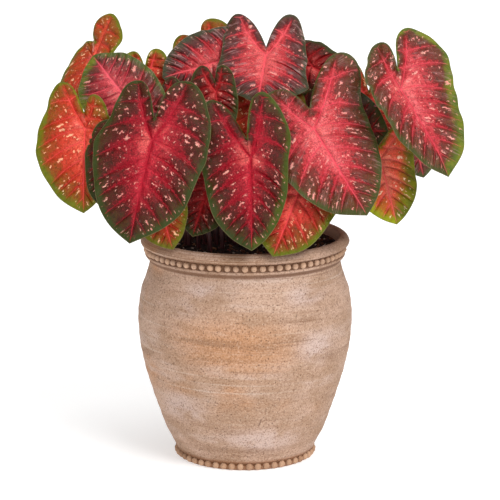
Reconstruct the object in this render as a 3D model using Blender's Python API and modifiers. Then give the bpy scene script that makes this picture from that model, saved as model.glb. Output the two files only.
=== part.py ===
"""A potted caladium: a turned clay pot, its soil, and a blade and a stalk for every leaf.

The plant stands on the XY plane with the axis of the pot on Z. The front looks along -Y.
Sizes below are millimetres, and MM turns them into metres.
"""

import math
from dataclasses import dataclass

import bmesh
import bpy
import numpy as np
from mathutils import Vector

MM = 0.001
GAP = 0.3

# Pot
TURNS = 30
POT_OUTSIDE = [
    (132.0, 302.5), (136.5, 300.5), (139.3, 297.0), (140.0, 293.0), (138.5, 289.3), (134.0, 287.2),
    (132.0, 286.0), (132.0, 277.0), (134.2, 274.6), (132.5, 272.0), (128.4, 268.0), (128.4, 263.0),
    (132.0, 252.0), (139.4, 230.0), (143.3, 206.0), (144.0, 192.0), (141.9, 160.0), (138.0, 137.0),
    (132.2, 114.0), (125.2, 91.0), (117.6, 68.5), (109.4, 45.0), (99.6, 24.0), (94.2, 14.0),
    (94.2, 11.0), (92.0, 9.5), (92.0, 0.0), (0.0, 0.0),
]
POT_INSIDE = [
    (0.0, 16.0), (84.0, 16.0), (93.0, 25.0), (113.0, 91.0), (128.0, 150.0), (131.5, 195.0),
    (127.0, 232.0), (116.5, 260.0), (118.0, 272.0), (125.0, 288.0), (126.5, 299.0),
]

# Beads pressed under the rim and round the foot
RIM_BEADS = 72
RIM_BEAD_RING = (131.2, 281.4)
RIM_BEAD_SIZE = (5.2, 3.7, 4.4)
FOOT_BEADS = 50
FOOT_BEAD_RING = (91.0, 5.0)
FOOT_BEAD_SIZE = (5.0, 4.0, 4.3)

# Soil
SOIL_LEVEL = 290.0
SOIL_RINGS = (105.0, 72.0, 36.0, 0.0)
SOIL_EDGE = 123.5
SOIL_RISE = 3.0
SOIL_LUMP = 1.6
HOLE_DEPTH = 26.0
HOLE_RADIUS = 3.9

# Leaves
BLADE_THICKNESS = 1.0
STALK_FOOT_RADIUS = 3.2
STALK_TOP_RADIUS = 1.9
STALK_LEAN = 0.5  # how much a stalk's top follows its rise, against the blade's own direction
STALK_RISE = 0.62  # share of the span that the stalk rises before it bends
STALK_REACH = 0.3  # share of the span, up to STALK_BEND, over which it arches to the blade
STALK_BEND = 45.0
STALK_STATIONS = 5
STALK_CROWDING = 1.4  # how much closer the stations stand near the blade
SINUS = -0.20
RINGS = 3
HALF_OUTLINE = [
    (1.00, 0.00), (0.93, 0.09), (0.80, 0.24), (0.62, 0.37), (0.36, 0.47), (0.02, 0.52),
    (-0.33, 0.475), (-0.50, 0.385), (-0.60, 0.25), (-0.55, 0.135), (-0.38, 0.05), (SINUS, 0.00),
]


@dataclass(frozen=True)
class Leaf:
    """One leaf. A leaf unit is the distance from the stalk's junction to the tip."""

    name: str
    junction: tuple
    tip: tuple
    faces: tuple  # compass direction and rise of the upper side, in degrees
    root: tuple  # where the stalk stands in the soil
    halves: tuple = (1.0, 1.0)  # widths of the left and right halves
    lobes: tuple = (1.0, 1.0)  # lengths of the left and right lobes
    spread: tuple = (1.0, 1.0)  # further widths of the left and right lobes
    swing: tuple = (0.0, 0.0)  # how far the left and right lobes lean to the right
    arch: float = 0.12  # how far the midrib bows towards the upper side
    lift: float = 0.0  # how far the lobes rise behind the junction
    fold: float = 0.10  # how far the sides fall back from the midrib
    wave: float = 0.02  # height of the waves along the margin
    turn: float = 0.0  # where the waves start, in degrees


LEAVES = [
    Leaf("front_left", (-119, -125, 453), (-147, -175, 328), (-100, 20), (-62, -34),
         halves=(0.97, 1.02), lobes=(0.95, 1.13), spread=(0.93, 1.05), swing=(-0.15, -0.1), arch=0.08),
    Leaf("front_middle", (8, -130, 431), (9, -165, 316), (-90, 18), (4, -50),
         halves=(1.0, 0.78), lobes=(1.14, 1.35), spread=(0.9, 1.2), swing=(-0.35, -0.1), arch=0.08),
    Leaf("front_right", (90, -90, 462), (157, -133, 355), (-78, 20), (44, -42),
         halves=(1.02, 1.0), lobes=(0.9, 1.0), spread=(0.9, 1.25), swing=(0.0, 0.65), arch=0.10),
    Leaf("crown", (28, 5, 545), (17, -68, 491), (-90, 45), (10, -6),
         halves=(1.25, 1.15), lobes=(1.45, 1.6), swing=(-0.28, 0.05), lift=0.35),
    Leaf("under_crown", (25, -45, 476), (28, -62, 402), (-90, 20), (22, -26), halves=(1.2, 1.2)),
    Leaf("small_middle", (-37, -82, 509), (-27, -98, 448), (-95, 15), (-14, -30),
         halves=(1.0, 0.8), lobes=(1.0, 0.85)),
    Leaf("upper_left", (-35, 23, 534), (-109, -12, 516), (-88, 20), (-20, -6),
         halves=(1.07, 1.0), arch=0.06),
    Leaf("shoulder_left", (-156, -50, 497), (-202, 15, 542), (-134, 46), (-54, -12),
         halves=(1.0, 1.15), arch=0.2),
    Leaf("top_left", (-204, 40, 534), (-260, 0, 434), (-140, 26), (-58, 10),
         halves=(0.68, 0.55), lobes=(0.05, 1.05), spread=(0.6, 1.9), swing=(-0.7, -0.8)),
    Leaf("far_left", (-207, -85, 461), (-209, -115, 355), (-98, 20), (-78, -14),
         halves=(1.15, 0.7), lobes=(0.95, 0.55), spread=(0.75, 0.8), swing=(-0.2, -0.1)),
    Leaf("shaded_left", (-162, -110, 440), (-181, -134, 363), (-105, 10), (-74, -30),
         lobes=(0.6, 0.6)),
    Leaf("rim_left", (-116, -95, 382), (-93, -122, 308), (-100, 25), (-46, -62),
         halves=(1.0, 0.85), lobes=(0.6, 0.6)),
    Leaf("rim_middle", (-45, -82, 391), (-68, -107, 322), (-95, 15), (-30, -46), lobes=(0.6, 0.6)),
    Leaf("rim_right", (75, -100, 392), (36, -147, 304), (-85, 25), (30, -64), lobes=(0.7, 0.6)),
    Leaf("low_right", (178, -45, 413), (199, -73, 331), (-75, 20), (68, -30),
         lobes=(0.6, 0.9), swing=(-0.3, 0.8)),
    Leaf("far_right", (203, -75, 511), (264, -117, 404), (-60, 20), (60, -10),
         halves=(0.74, 1.0), lobes=(0.9, 1.0), spread=(1.1, 1.15), swing=(0.5, 0.28), fold=-0.12),
    Leaf("behind_right", (166, -5, 482), (167, -25, 408), (-70, 20), (50, 14), halves=(1.2, 1.2), lobes=(1.4, 1.5)),
    Leaf("top_right", (90, 30, 526), (147, 10, 494), (-85, 25), (30, 6)),
    Leaf("behind_upper_left", (-47, 50, 529), (-8, 30, 453), (-90, 20), (-30, 18),
         lobes=(1.0, 1.1), spread=(1.0, 1.1)),
    Leaf("behind_shoulder", (-132, 7, 514), (-126, -13, 451), (-95, 20), (-40, 6)),
    Leaf("gap_left", (-111, -42, 486), (-110, -58, 425), (-95, 20), (-38, -20),
         halves=(0.85, 1.0), lobes=(0.8, 1.0)),
    Leaf("gap_right", (106, -48, 448), (187, -72, 456), (-75, 25), (48, -24)),
    Leaf("under_far_right", (217, 30, 459), (240, 10, 378), (-60, 20), (72, 18)),
    Leaf("back_left", (-120, 110, 486), (-180, 180, 406), (130, 35), (-50, 34)),
    Leaf("back_right", (140, 90, 480), (200, 150, 400), (50, 35), (48, 36)),
    Leaf("back_crown", (15, 130, 506), (15, 215, 446), (90, 50), (4, 26)),
    Leaf("back_low_left", (-105, 154, 410), (-140, 215, 320), (115, 25), (-28, 58), halves=(0.9, 0.9)),
    Leaf("back_low_middle", (8, 170, 420), (12, 235, 310), (90, 25), (4, 60), halves=(0.85, 0.85)),
    Leaf("back_low_right", (118, 150, 410), (150, 210, 320), (65, 25), (36, 56), halves=(0.9, 0.9)),
]

# Colour, roughness
FINISHES = {
    "clay": ((0.60, 0.44, 0.35), 0.85),
    "soil": ((0.035, 0.025, 0.02), 0.95),
    "leaf": ((0.30, 0.06, 0.06), 0.45),
    "stalk": ((0.10, 0.04, 0.04), 0.55),
}


def clear_scene():
    """Removes every object, so the script can be run again in the same file."""
    for obj in list(bpy.data.objects):
        bpy.data.objects.remove(obj, do_unlink=True)


def new_collection(name, is_helper=False):
    """A collection in the scene, kept out of renders where it only holds helpers."""
    collection = bpy.data.collections.new(name)
    bpy.context.scene.collection.children.link(collection)
    collection.hide_render = is_helper
    return collection


def new_material(name, finish):
    """A plain Principled material of the finish with this name."""
    colour, roughness = FINISHES[finish]
    material = bpy.data.materials.new(name)
    material.use_nodes = True
    shader = material.node_tree.nodes["Principled BSDF"]
    shader.inputs["Base Color"].default_value = (*colour, 1.0)
    shader.inputs["Roughness"].default_value = roughness
    shader.inputs["Metallic"].default_value = 0.0
    return material


def add_object(name, data, collection, finish=None):
    """Links an object that holds this data, with a material of its own."""
    obj = bpy.data.objects.new(name, data)
    collection.objects.link(obj)
    if finish:
        data.materials.append(new_material(name + "_finish", finish))
    return obj


def bake_modifiers(obj):
    """Replaces the object's mesh by the one its modifiers make, and drops them."""
    graph = bpy.context.evaluated_depsgraph_get()
    made = bpy.data.meshes.new_from_object(obj.evaluated_get(graph))
    obj.modifiers.clear()
    obj.data = made


def add_turned(name, profile, collection, finish):
    """Turns a profile of (radius, height) round the pot's axis."""
    mesh = bpy.data.meshes.new(name)
    shape = bmesh.new()
    points = [shape.verts.new((radius * MM, 0.0, height * MM)) for radius, height in profile]
    for start, end in zip(points, points[1:]):
        shape.edges.new((start, end))
    shape.to_mesh(mesh)
    shape.free()
    obj = add_object(name, mesh, collection, finish)
    screw = obj.modifiers.new("Turn", "SCREW")
    screw.steps = TURNS
    screw.render_steps = TURNS
    screw.use_merge_vertices = True
    screw.merge_threshold = 0.0001
    bake_modifiers(obj)
    return obj


def add_bead_ring(count, ring, size, name, collection):
    """Sets egg-shaped beads in an even ring, each turned to face outwards."""
    mesh = bpy.data.meshes.new(name)
    bead = bmesh.new()
    bmesh.ops.create_icosphere(bead, subdivisions=1, radius=1.0)
    bmesh.ops.scale(bead, vec=Vector(size) * MM, verts=bead.verts)
    bead.to_mesh(mesh)
    bead.free()
    radius, height = ring
    for number in range(count):
        angle = math.tau * number / count
        obj = add_object(f"{name}_{number}", mesh, collection)
        obj.location = (radius * math.cos(angle) * MM, radius * math.sin(angle) * MM, height * MM)
        obj.rotation_euler.z = angle


def boolean(obj, operation, collection, solver):
    """Joins or cuts the object with every mesh of a collection, which is emptied after."""
    change = obj.modifiers.new(operation.title(), "BOOLEAN")
    change.operation = operation
    change.operand_type = "COLLECTION"
    change.collection = collection
    change.solver = solver
    bpy.context.view_layer.update()
    bake_modifiers(obj)
    for helper in list(collection.objects):
        bpy.data.objects.remove(helper, do_unlink=True)


def add_pot(parts, helpers):
    """The turned pot with its two rings of beads, as one body."""
    pot = add_turned("pot", POT_INSIDE + POT_OUTSIDE, parts, "clay")
    add_bead_ring(RIM_BEADS, RIM_BEAD_RING, RIM_BEAD_SIZE, "rim_bead", helpers)
    add_bead_ring(FOOT_BEADS, FOOT_BEAD_RING, FOOT_BEAD_SIZE, "foot_bead", helpers)
    boolean(pot, "UNION", helpers, "MANIFOLD")
    return pot


def soil_height(x, y):
    """Height of the soil's surface: a low mound with lumps."""
    reach = min(math.hypot(x, y) / SOIL_EDGE, 1.0)
    mound = SOIL_RISE * (1.0 - reach**2)
    lumps = math.sin(0.11 * x + 0.7) * math.cos(0.09 * y) + 0.6 * math.sin(0.19 * y - 0.13 * x)
    return SOIL_LEVEL + mound + SOIL_LUMP * lumps * (1.0 - reach**4)


def add_soil(parts, helpers):
    """The soil fills the pot, and has a plain hole for the foot of each stalk."""
    side = [(radius - GAP, height) for radius, height in reversed(POT_INSIDE[2:9])]
    floor = POT_INSIDE[1][1] + GAP
    top = [(radius, SOIL_LEVEL) for radius in reversed(SOIL_RINGS)] + [(SOIL_EDGE - GAP, SOIL_LEVEL - 3.0)]
    profile = top + side + [(POT_INSIDE[1][0] - GAP, floor), (0.0, floor)]
    soil = add_turned("soil", profile, parts, "soil")
    for vertex in soil.data.vertices:
        x, y, z = vertex.co / MM
        if z > SOIL_LEVEL - 1.0:
            vertex.co.z = soil_height(x, y) * MM
    for leaf in LEAVES:
        x, y = leaf.root
        bottom = soil_height(x, y) - HOLE_DEPTH
        hole = bmesh.new()
        length = HOLE_DEPTH * 2.0
        bmesh.ops.create_cone(
            hole, cap_ends=True, segments=6,
            radius1=HOLE_RADIUS * MM, radius2=HOLE_RADIUS * MM, depth=length * MM,
        )
        mesh = bpy.data.meshes.new("hole")
        hole.to_mesh(mesh)
        hole.free()
        cutter = add_object("hole_" + leaf.name, mesh, helpers)
        cutter.location = (x * MM, y * MM, (bottom + length / 2.0) * MM)
        cutter.display_type = "WIRE"
        cutter.hide_render = True
    boolean(soil, "DIFFERENCE", helpers, "MANIFOLD")
    return soil


def unit(vector):
    """The vector at length one."""
    return vector / np.linalg.norm(vector)


def leaf_frame(leaf):
    """Junction, length, and unit directions to the tip, to the right side and out of the upper side."""
    junction = np.array(leaf.junction, float)
    reach = np.array(leaf.tip, float) - junction
    along = unit(reach)
    compass, rise = np.radians(leaf.faces)
    outwards = np.array([
        math.cos(compass) * math.cos(rise), math.sin(compass) * math.cos(rise), math.sin(rise),
    ])
    normal = unit(outwards - outwards.dot(along) * along)
    return junction, np.linalg.norm(reach), along, np.cross(normal, along), normal


def half_outline(leaf, side):
    """Points (along, across) of one half of the margin, from the tip to the sinus."""
    half = []
    sinus_lean = (leaf.swing[0] + leaf.swing[1]) / 2.0
    for along, across in HALF_OUTLINE:
        beyond = max(SINUS - along, 0.0) * leaf.lobes[side]
        behind = min(max(-along, 0.0), -SINUS)
        widening = 1.0 + (leaf.spread[side] - 1.0) * behind / -SINUS
        width = across * leaf.halves[side] * widening
        lean = sinus_lean * behind + leaf.swing[side] * beyond
        half.append((max(along, SINUS) - beyond, (width if side else -width) + lean))
    return half


def leaf_outline(leaf):
    """Points (along, across) round the margin, from the sinus by the left half to the tip and back."""
    return half_outline(leaf, 0)[::-1] + half_outline(leaf, 1)[1:]


def blade_height(leaf, along, across):
    """Rise of the blade over its own plane, in leaf units.

    The midrib is an arch, the lobes may rise, the sides fall back from the midrib, and the
    margin waves more the farther it is from the junction.
    """
    arch = leaf.arch * along * (1.0 - along)
    lift = leaf.lift * min(along, 0.0) ** 2
    fold = leaf.fold * (math.hypot(across, 0.1) - 0.1)
    out = math.hypot(along, across)
    wave = leaf.wave * out**2 * math.sin(5.0 * math.atan2(across, along) + math.radians(leaf.turn))
    return arch + lift - fold + wave


def blade_point(leaf, along, across):
    """Place of a point of the blade, in millimetres."""
    junction, length, forward, right, normal = leaf_frame(leaf)
    height = blade_height(leaf, along, across)
    return junction + length * (along * forward + across * right + height * normal)


def add_blade(leaf, parts):
    """A grid bent into a fan round the junction, split into triangles and given its thickness."""
    margin = leaf_outline(leaf)
    stations = len(margin) - 1
    shape = bmesh.new()
    bmesh.ops.create_grid(shape, x_segments=stations, y_segments=RINGS, size=1.0)
    for vertex in shape.verts:
        station = round((vertex.co.x + 1.0) / 2.0 * stations)
        share = (vertex.co.y + 1.0) / 2.0
        along, across = margin[station]
        vertex.co = Vector(blade_point(leaf, along * share, across * share)) * MM
    bmesh.ops.remove_doubles(shape, verts=shape.verts, dist=0.01 * MM)
    bmesh.ops.triangulate(shape, faces=shape.faces)
    mesh = bpy.data.meshes.new("blade_" + leaf.name)
    shape.to_mesh(mesh)
    shape.free()
    mesh.shade_smooth()
    obj = add_object("blade_" + leaf.name, mesh, parts, "leaf")
    solid = obj.modifiers.new("Thickness", "SOLIDIFY")
    solid.thickness = BLADE_THICKNESS * MM
    solid.offset = 0.0
    return obj


def stalk_path(leaf):
    """Places and radii along the stalk: upright in its hole, then one smooth sweep to the blade."""
    junction, _, forward, _, normal = leaf_frame(leaf)
    x, y = leaf.root
    ground = soil_height(x, y)
    foot = np.array([x, y, ground - HOLE_DEPTH + GAP])
    start = np.array([x, y, ground + 4.0])
    out = unit(normal - leaf.arch * forward)
    arrival = unit(out + STALK_LEAN * unit(junction - start))
    tilt = math.sqrt(1.0 - arrival.dot(out) ** 2)
    end = junction - out * (BLADE_THICKNESS / 2.0 + 3.0 * GAP + STALK_TOP_RADIUS * tilt)
    span = np.linalg.norm(end - start)
    pull_up = start + np.array([0.0, 0.0, STALK_RISE * span])
    pull_back = end - arrival * min(STALK_REACH * span, STALK_BEND)
    places, radii = [foot], [STALK_FOOT_RADIUS]
    for station in range(STALK_STATIONS + 1):
        t = 1.0 - (1.0 - station / STALK_STATIONS) ** STALK_CROWDING
        rise = (1.0 - t) ** 3 * start + 3.0 * t * (1.0 - t) ** 2 * pull_up
        places.append(rise + 3.0 * t * t * (1.0 - t) * pull_back + t**3 * end)
        radii.append(STALK_FOOT_RADIUS + (STALK_TOP_RADIUS - STALK_FOOT_RADIUS) * t)
    return places, radii


def add_stalk(leaf, parts):
    """A tapering tube along the stalk's path."""
    places, radii = stalk_path(leaf)
    curve = bpy.data.curves.new("stalk_" + leaf.name, "CURVE")
    curve.dimensions = "3D"
    curve.bevel_depth = MM
    curve.bevel_resolution = 1
    curve.use_fill_caps = True
    spline = curve.splines.new("POLY")
    spline.points.add(len(places) - 1)
    for point, place, radius in zip(spline.points, places, radii):
        point.co = (*(place * MM), 1.0)
        point.radius = radius
    return add_object("stalk_" + leaf.name, curve, parts, "stalk")


def main():
    clear_scene()
    parts = new_collection("potted_caladium")
    helpers = new_collection("cutters", is_helper=True)
    add_pot(parts, helpers)
    add_soil(parts, helpers)
    for leaf in LEAVES:
        add_blade(leaf, parts)
        add_stalk(leaf, parts)


if __name__ == "__main__":
    main()
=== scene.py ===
"""The looks of a potted caladium: its clay pot, soil, stalks and patterned blades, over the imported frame.

The frame is in metres with the axis of the pot on Z. Sizes in this file are millimetres, and MM
turns them into metres. Every piece is a closed skin of rings: a grid of points that is worked out
as whole arrays, closed round, with a single point at each end.
"""

import logging
import math
from dataclasses import dataclass
from enum import Enum

import bpy
import numpy as np
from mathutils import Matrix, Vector


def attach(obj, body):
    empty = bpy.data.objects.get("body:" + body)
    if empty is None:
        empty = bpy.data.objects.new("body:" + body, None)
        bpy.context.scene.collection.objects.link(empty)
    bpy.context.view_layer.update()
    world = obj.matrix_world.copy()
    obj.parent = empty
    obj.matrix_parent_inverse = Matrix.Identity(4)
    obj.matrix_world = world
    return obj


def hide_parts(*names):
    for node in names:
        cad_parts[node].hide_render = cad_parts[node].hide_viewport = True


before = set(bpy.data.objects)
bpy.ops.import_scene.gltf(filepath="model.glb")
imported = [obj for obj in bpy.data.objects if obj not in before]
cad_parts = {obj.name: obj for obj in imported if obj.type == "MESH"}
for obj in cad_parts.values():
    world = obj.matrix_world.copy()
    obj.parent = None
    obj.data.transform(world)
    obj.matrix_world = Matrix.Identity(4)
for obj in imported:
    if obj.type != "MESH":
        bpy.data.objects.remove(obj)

LOG = logging.getLogger("caladium")
MM = 0.001
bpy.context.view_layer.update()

Array = np.ndarray
Socket = bpy.types.NodeSocket
Colour = tuple[float, float, float, float]
Pair = tuple[float, float]
Spot = tuple[float, float, float]


def tone(red: int, green: int, blue: int) -> Colour:
    """A colour from its screen values, 0 to 255, as the linear light that a shader works in."""
    share = np.array([red, green, blue]) / 255
    light = np.where(share <= 0.04045, share / 12.92, ((share + 0.055) / 1.055) ** 2.4)
    return (*(float(part) for part in light), 1.0)


def ease(value: Array, low: float, high: float) -> Array:
    """Rises from 0 at low to 1 at high with level ends: 3 u^2 - 2 u^3 of the share u between them."""
    share = np.clip((value - low) / (high - low), 0, 1)
    return share * share * (3 - 2 * share)


def unit(vectors: Array) -> Array:
    """Each vector divided by its length."""
    return vectors / np.maximum(np.linalg.norm(vectors, axis=-1, keepdims=True), 1e-12)


def rotated(x: Array, y: Array, angle: Array) -> tuple[Array, Array]:
    """Two coordinates turned by an angle: x cos - y sin and x sin + y cos."""
    return x * np.cos(angle) - y * np.sin(angle), x * np.sin(angle) + y * np.cos(angle)


def triples(*values: object) -> Array:
    """Numbers side by side at each point of a grid."""
    return np.stack(np.broadcast_arrays(*values), axis=-1)


def run_length(points: Array) -> Array:
    """How far along its line each point lies."""
    return np.concatenate([[0], np.cumsum(np.linalg.norm(np.diff(points, axis=0), axis=1))])


def smooth_run(points: Array, count: int) -> Array:
    """A smooth line through points, as count points at equal distances.

    Between two points the line is the cubic that leaves and reaches them at the slope of the line
    through their neighbours, over the straight distance between them.

    Args:
        points: The points that the line passes, one to a row.
        count: How many points to give back.

    Returns:
        The points of the smooth line.
    """
    at = run_length(points)
    slope = np.gradient(points, at, axis=0)
    fine = np.linspace(0, at[-1], 12 * len(points))
    left = np.clip(np.searchsorted(at, fine, side="right") - 1, 0, len(at) - 2)
    span = (at[left + 1] - at[left])[:, None]
    t = (fine[:, None] - at[left][:, None]) / span
    line = (
        (2 * t**3 - 3 * t**2 + 1) * points[left]
        + (t**3 - 2 * t**2 + t) * span * slope[left]
        + (3 * t**2 - 2 * t**3) * points[left + 1]
        + (t**3 - t**2) * span * slope[left + 1]
    )
    walked = run_length(line)
    even = np.linspace(0, walked[-1], count)
    return np.stack([np.interp(even, walked, line[:, i]) for i in range(points.shape[1])], axis=1)


# --------------------------------------------------------------------------- skins


@dataclass
class Skin:
    """Points and faces of a piece, with what its finish needs to know at every point.

    Attributes:
        points: Places in millimetres, one to a row.
        quads: Corners of the four-sided faces.
        tris: Corners of the three-sided faces.
        marks: Named triples of numbers, one to a point, which the finish reads.
        chart: Where each corner lies on the flat bake map, quads first, or nothing.
    """

    points: Array
    quads: Array
    tris: Array
    marks: dict[str, Array]
    chart: Array | None = None

    def joined(self, other: "Skin") -> "Skin":
        """Both skins as one piece.

        Args:
            other: A skin with the same marks. Neither has a chart.

        Returns:
            The joined skin.
        """
        shift = len(self.points)
        return Skin(
            np.concatenate([self.points, other.points]),
            np.concatenate([self.quads, other.quads + shift]),
            np.concatenate([self.tris, other.tris + shift]),
            {name: np.concatenate([mark, other.marks[name]]) for name, mark in self.marks.items()},
        )

    def stand_in(self, node: str, material: bpy.types.Material) -> bpy.types.Object:
        """Makes the mesh and its object, at the origin, dresses it, and puts it in place of a solid.

        Args:
            node: The solid that the piece stands for.
            material: Its finish.

        Returns:
            The new object, linked into the scene.
        """
        mesh = bpy.data.meshes.new("fine_" + node)
        corners = np.concatenate([self.quads.ravel(), self.tris.ravel()]).astype(np.int32)
        sizes = np.repeat([4, 3], [len(self.quads), len(self.tris)]).astype(np.int32)
        mesh.vertices.add(len(self.points))
        mesh.loops.add(len(corners))
        mesh.polygons.add(len(sizes))
        mesh.vertices.foreach_set("co", (self.points * MM).astype(np.float32).ravel())
        mesh.loops.foreach_set("vertex_index", corners)
        mesh.polygons.foreach_set("loop_start", (np.cumsum(sizes) - sizes).astype(np.int32))
        mesh.polygons.foreach_set("use_smooth", np.ones(len(sizes), dtype=bool))
        mesh.update(calc_edges=True)
        for mark, values in self.marks.items():
            layer = mesh.attributes.new(mark, "FLOAT_VECTOR", "POINT")
            layer.data.foreach_set("vector", values.astype(np.float32).ravel())
        if self.chart is not None:
            mesh.uv_layers.new(name="OFBake").data.foreach_set("uv", self.chart.astype(np.float32).ravel())
        mesh.validate()
        mesh.materials.append(material)
        piece = bpy.data.objects.new("fine_" + node, mesh)
        bpy.context.scene.collection.objects.link(piece)
        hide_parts(node)
        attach(piece, "root")
        return piece


def circle(count: int) -> Array:
    """Equal angles once round."""
    return np.linspace(0, 2 * np.pi, count, endpoint=False)


def lathed(radius: Array, level: Array, angle: Array) -> Array:
    """Points at a radius and a level for every angle a: (r cos a, r sin a, level)."""
    return triples(radius * np.cos(angle), radius * np.sin(angle), level)


def ring_faces(rings: int, columns: int) -> tuple[Array, Array]:
    """Faces of a closed skin whose points are a first pole, the rings in turn, and a last pole.

    Args:
        rings: How many rings there are.
        columns: How many points each ring has.

    Returns:
        The corners of the quads between rings, and of the triangles at the two poles.
    """
    column = np.arange(columns)
    after = (column + 1) % columns
    start = 1 + columns * np.arange(rings - 1)[:, None]
    quads = np.stack([start + column, start + columns + column, start + columns + after, start + after], axis=-1)
    outer = 1 + columns * (rings - 1)
    pole = np.zeros(columns, dtype=int)
    first = np.stack([pole, 1 + column, 1 + after], axis=-1)
    last = np.stack([pole + 1 + rings * columns, outer + after, outer + column], axis=-1)
    return quads.reshape(-1, 4), np.concatenate([first, last])


def ring_points(first: object, rings: Array, last: object) -> Array:
    """A first pole, the rings and a last pole as one list of rows."""
    return np.concatenate([np.atleast_2d(first), rings.reshape(-1, rings.shape[-1]), np.atleast_2d(last)])


def ball(rings: int, around: int) -> Array:
    """A round ball of radius one: rings at equal angles from pole to pole."""
    lift = np.pi * np.arange(1, rings + 1)[:, None] / (rings + 1)
    return ring_points((0, 0, 1), lathed(np.sin(lift), np.cos(lift), circle(around)), (0, 0, -1))


def many(points: Array, rings: int, around: int, mark: str, values: Array) -> Skin:
    """Many balls as one skin.

    Args:
        points: The points of each ball in turn, poles first and last.
        rings: How many rings each has.
        around: How many points a ring has.
        mark: Name of their mark.
        values: What it holds at each point.

    Returns:
        The skin.
    """
    quads, tris = ring_faces(rings, around)
    shift = (np.arange(len(points)) * points.shape[1])[:, None, None]
    return Skin(
        points.reshape(-1, 3), (quads + shift).reshape(-1, 4), (tris + shift).reshape(-1, 3),
        {mark: values.reshape(-1, 3)},
    )


# --------------------------------------------------------------------------- finishes


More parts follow.
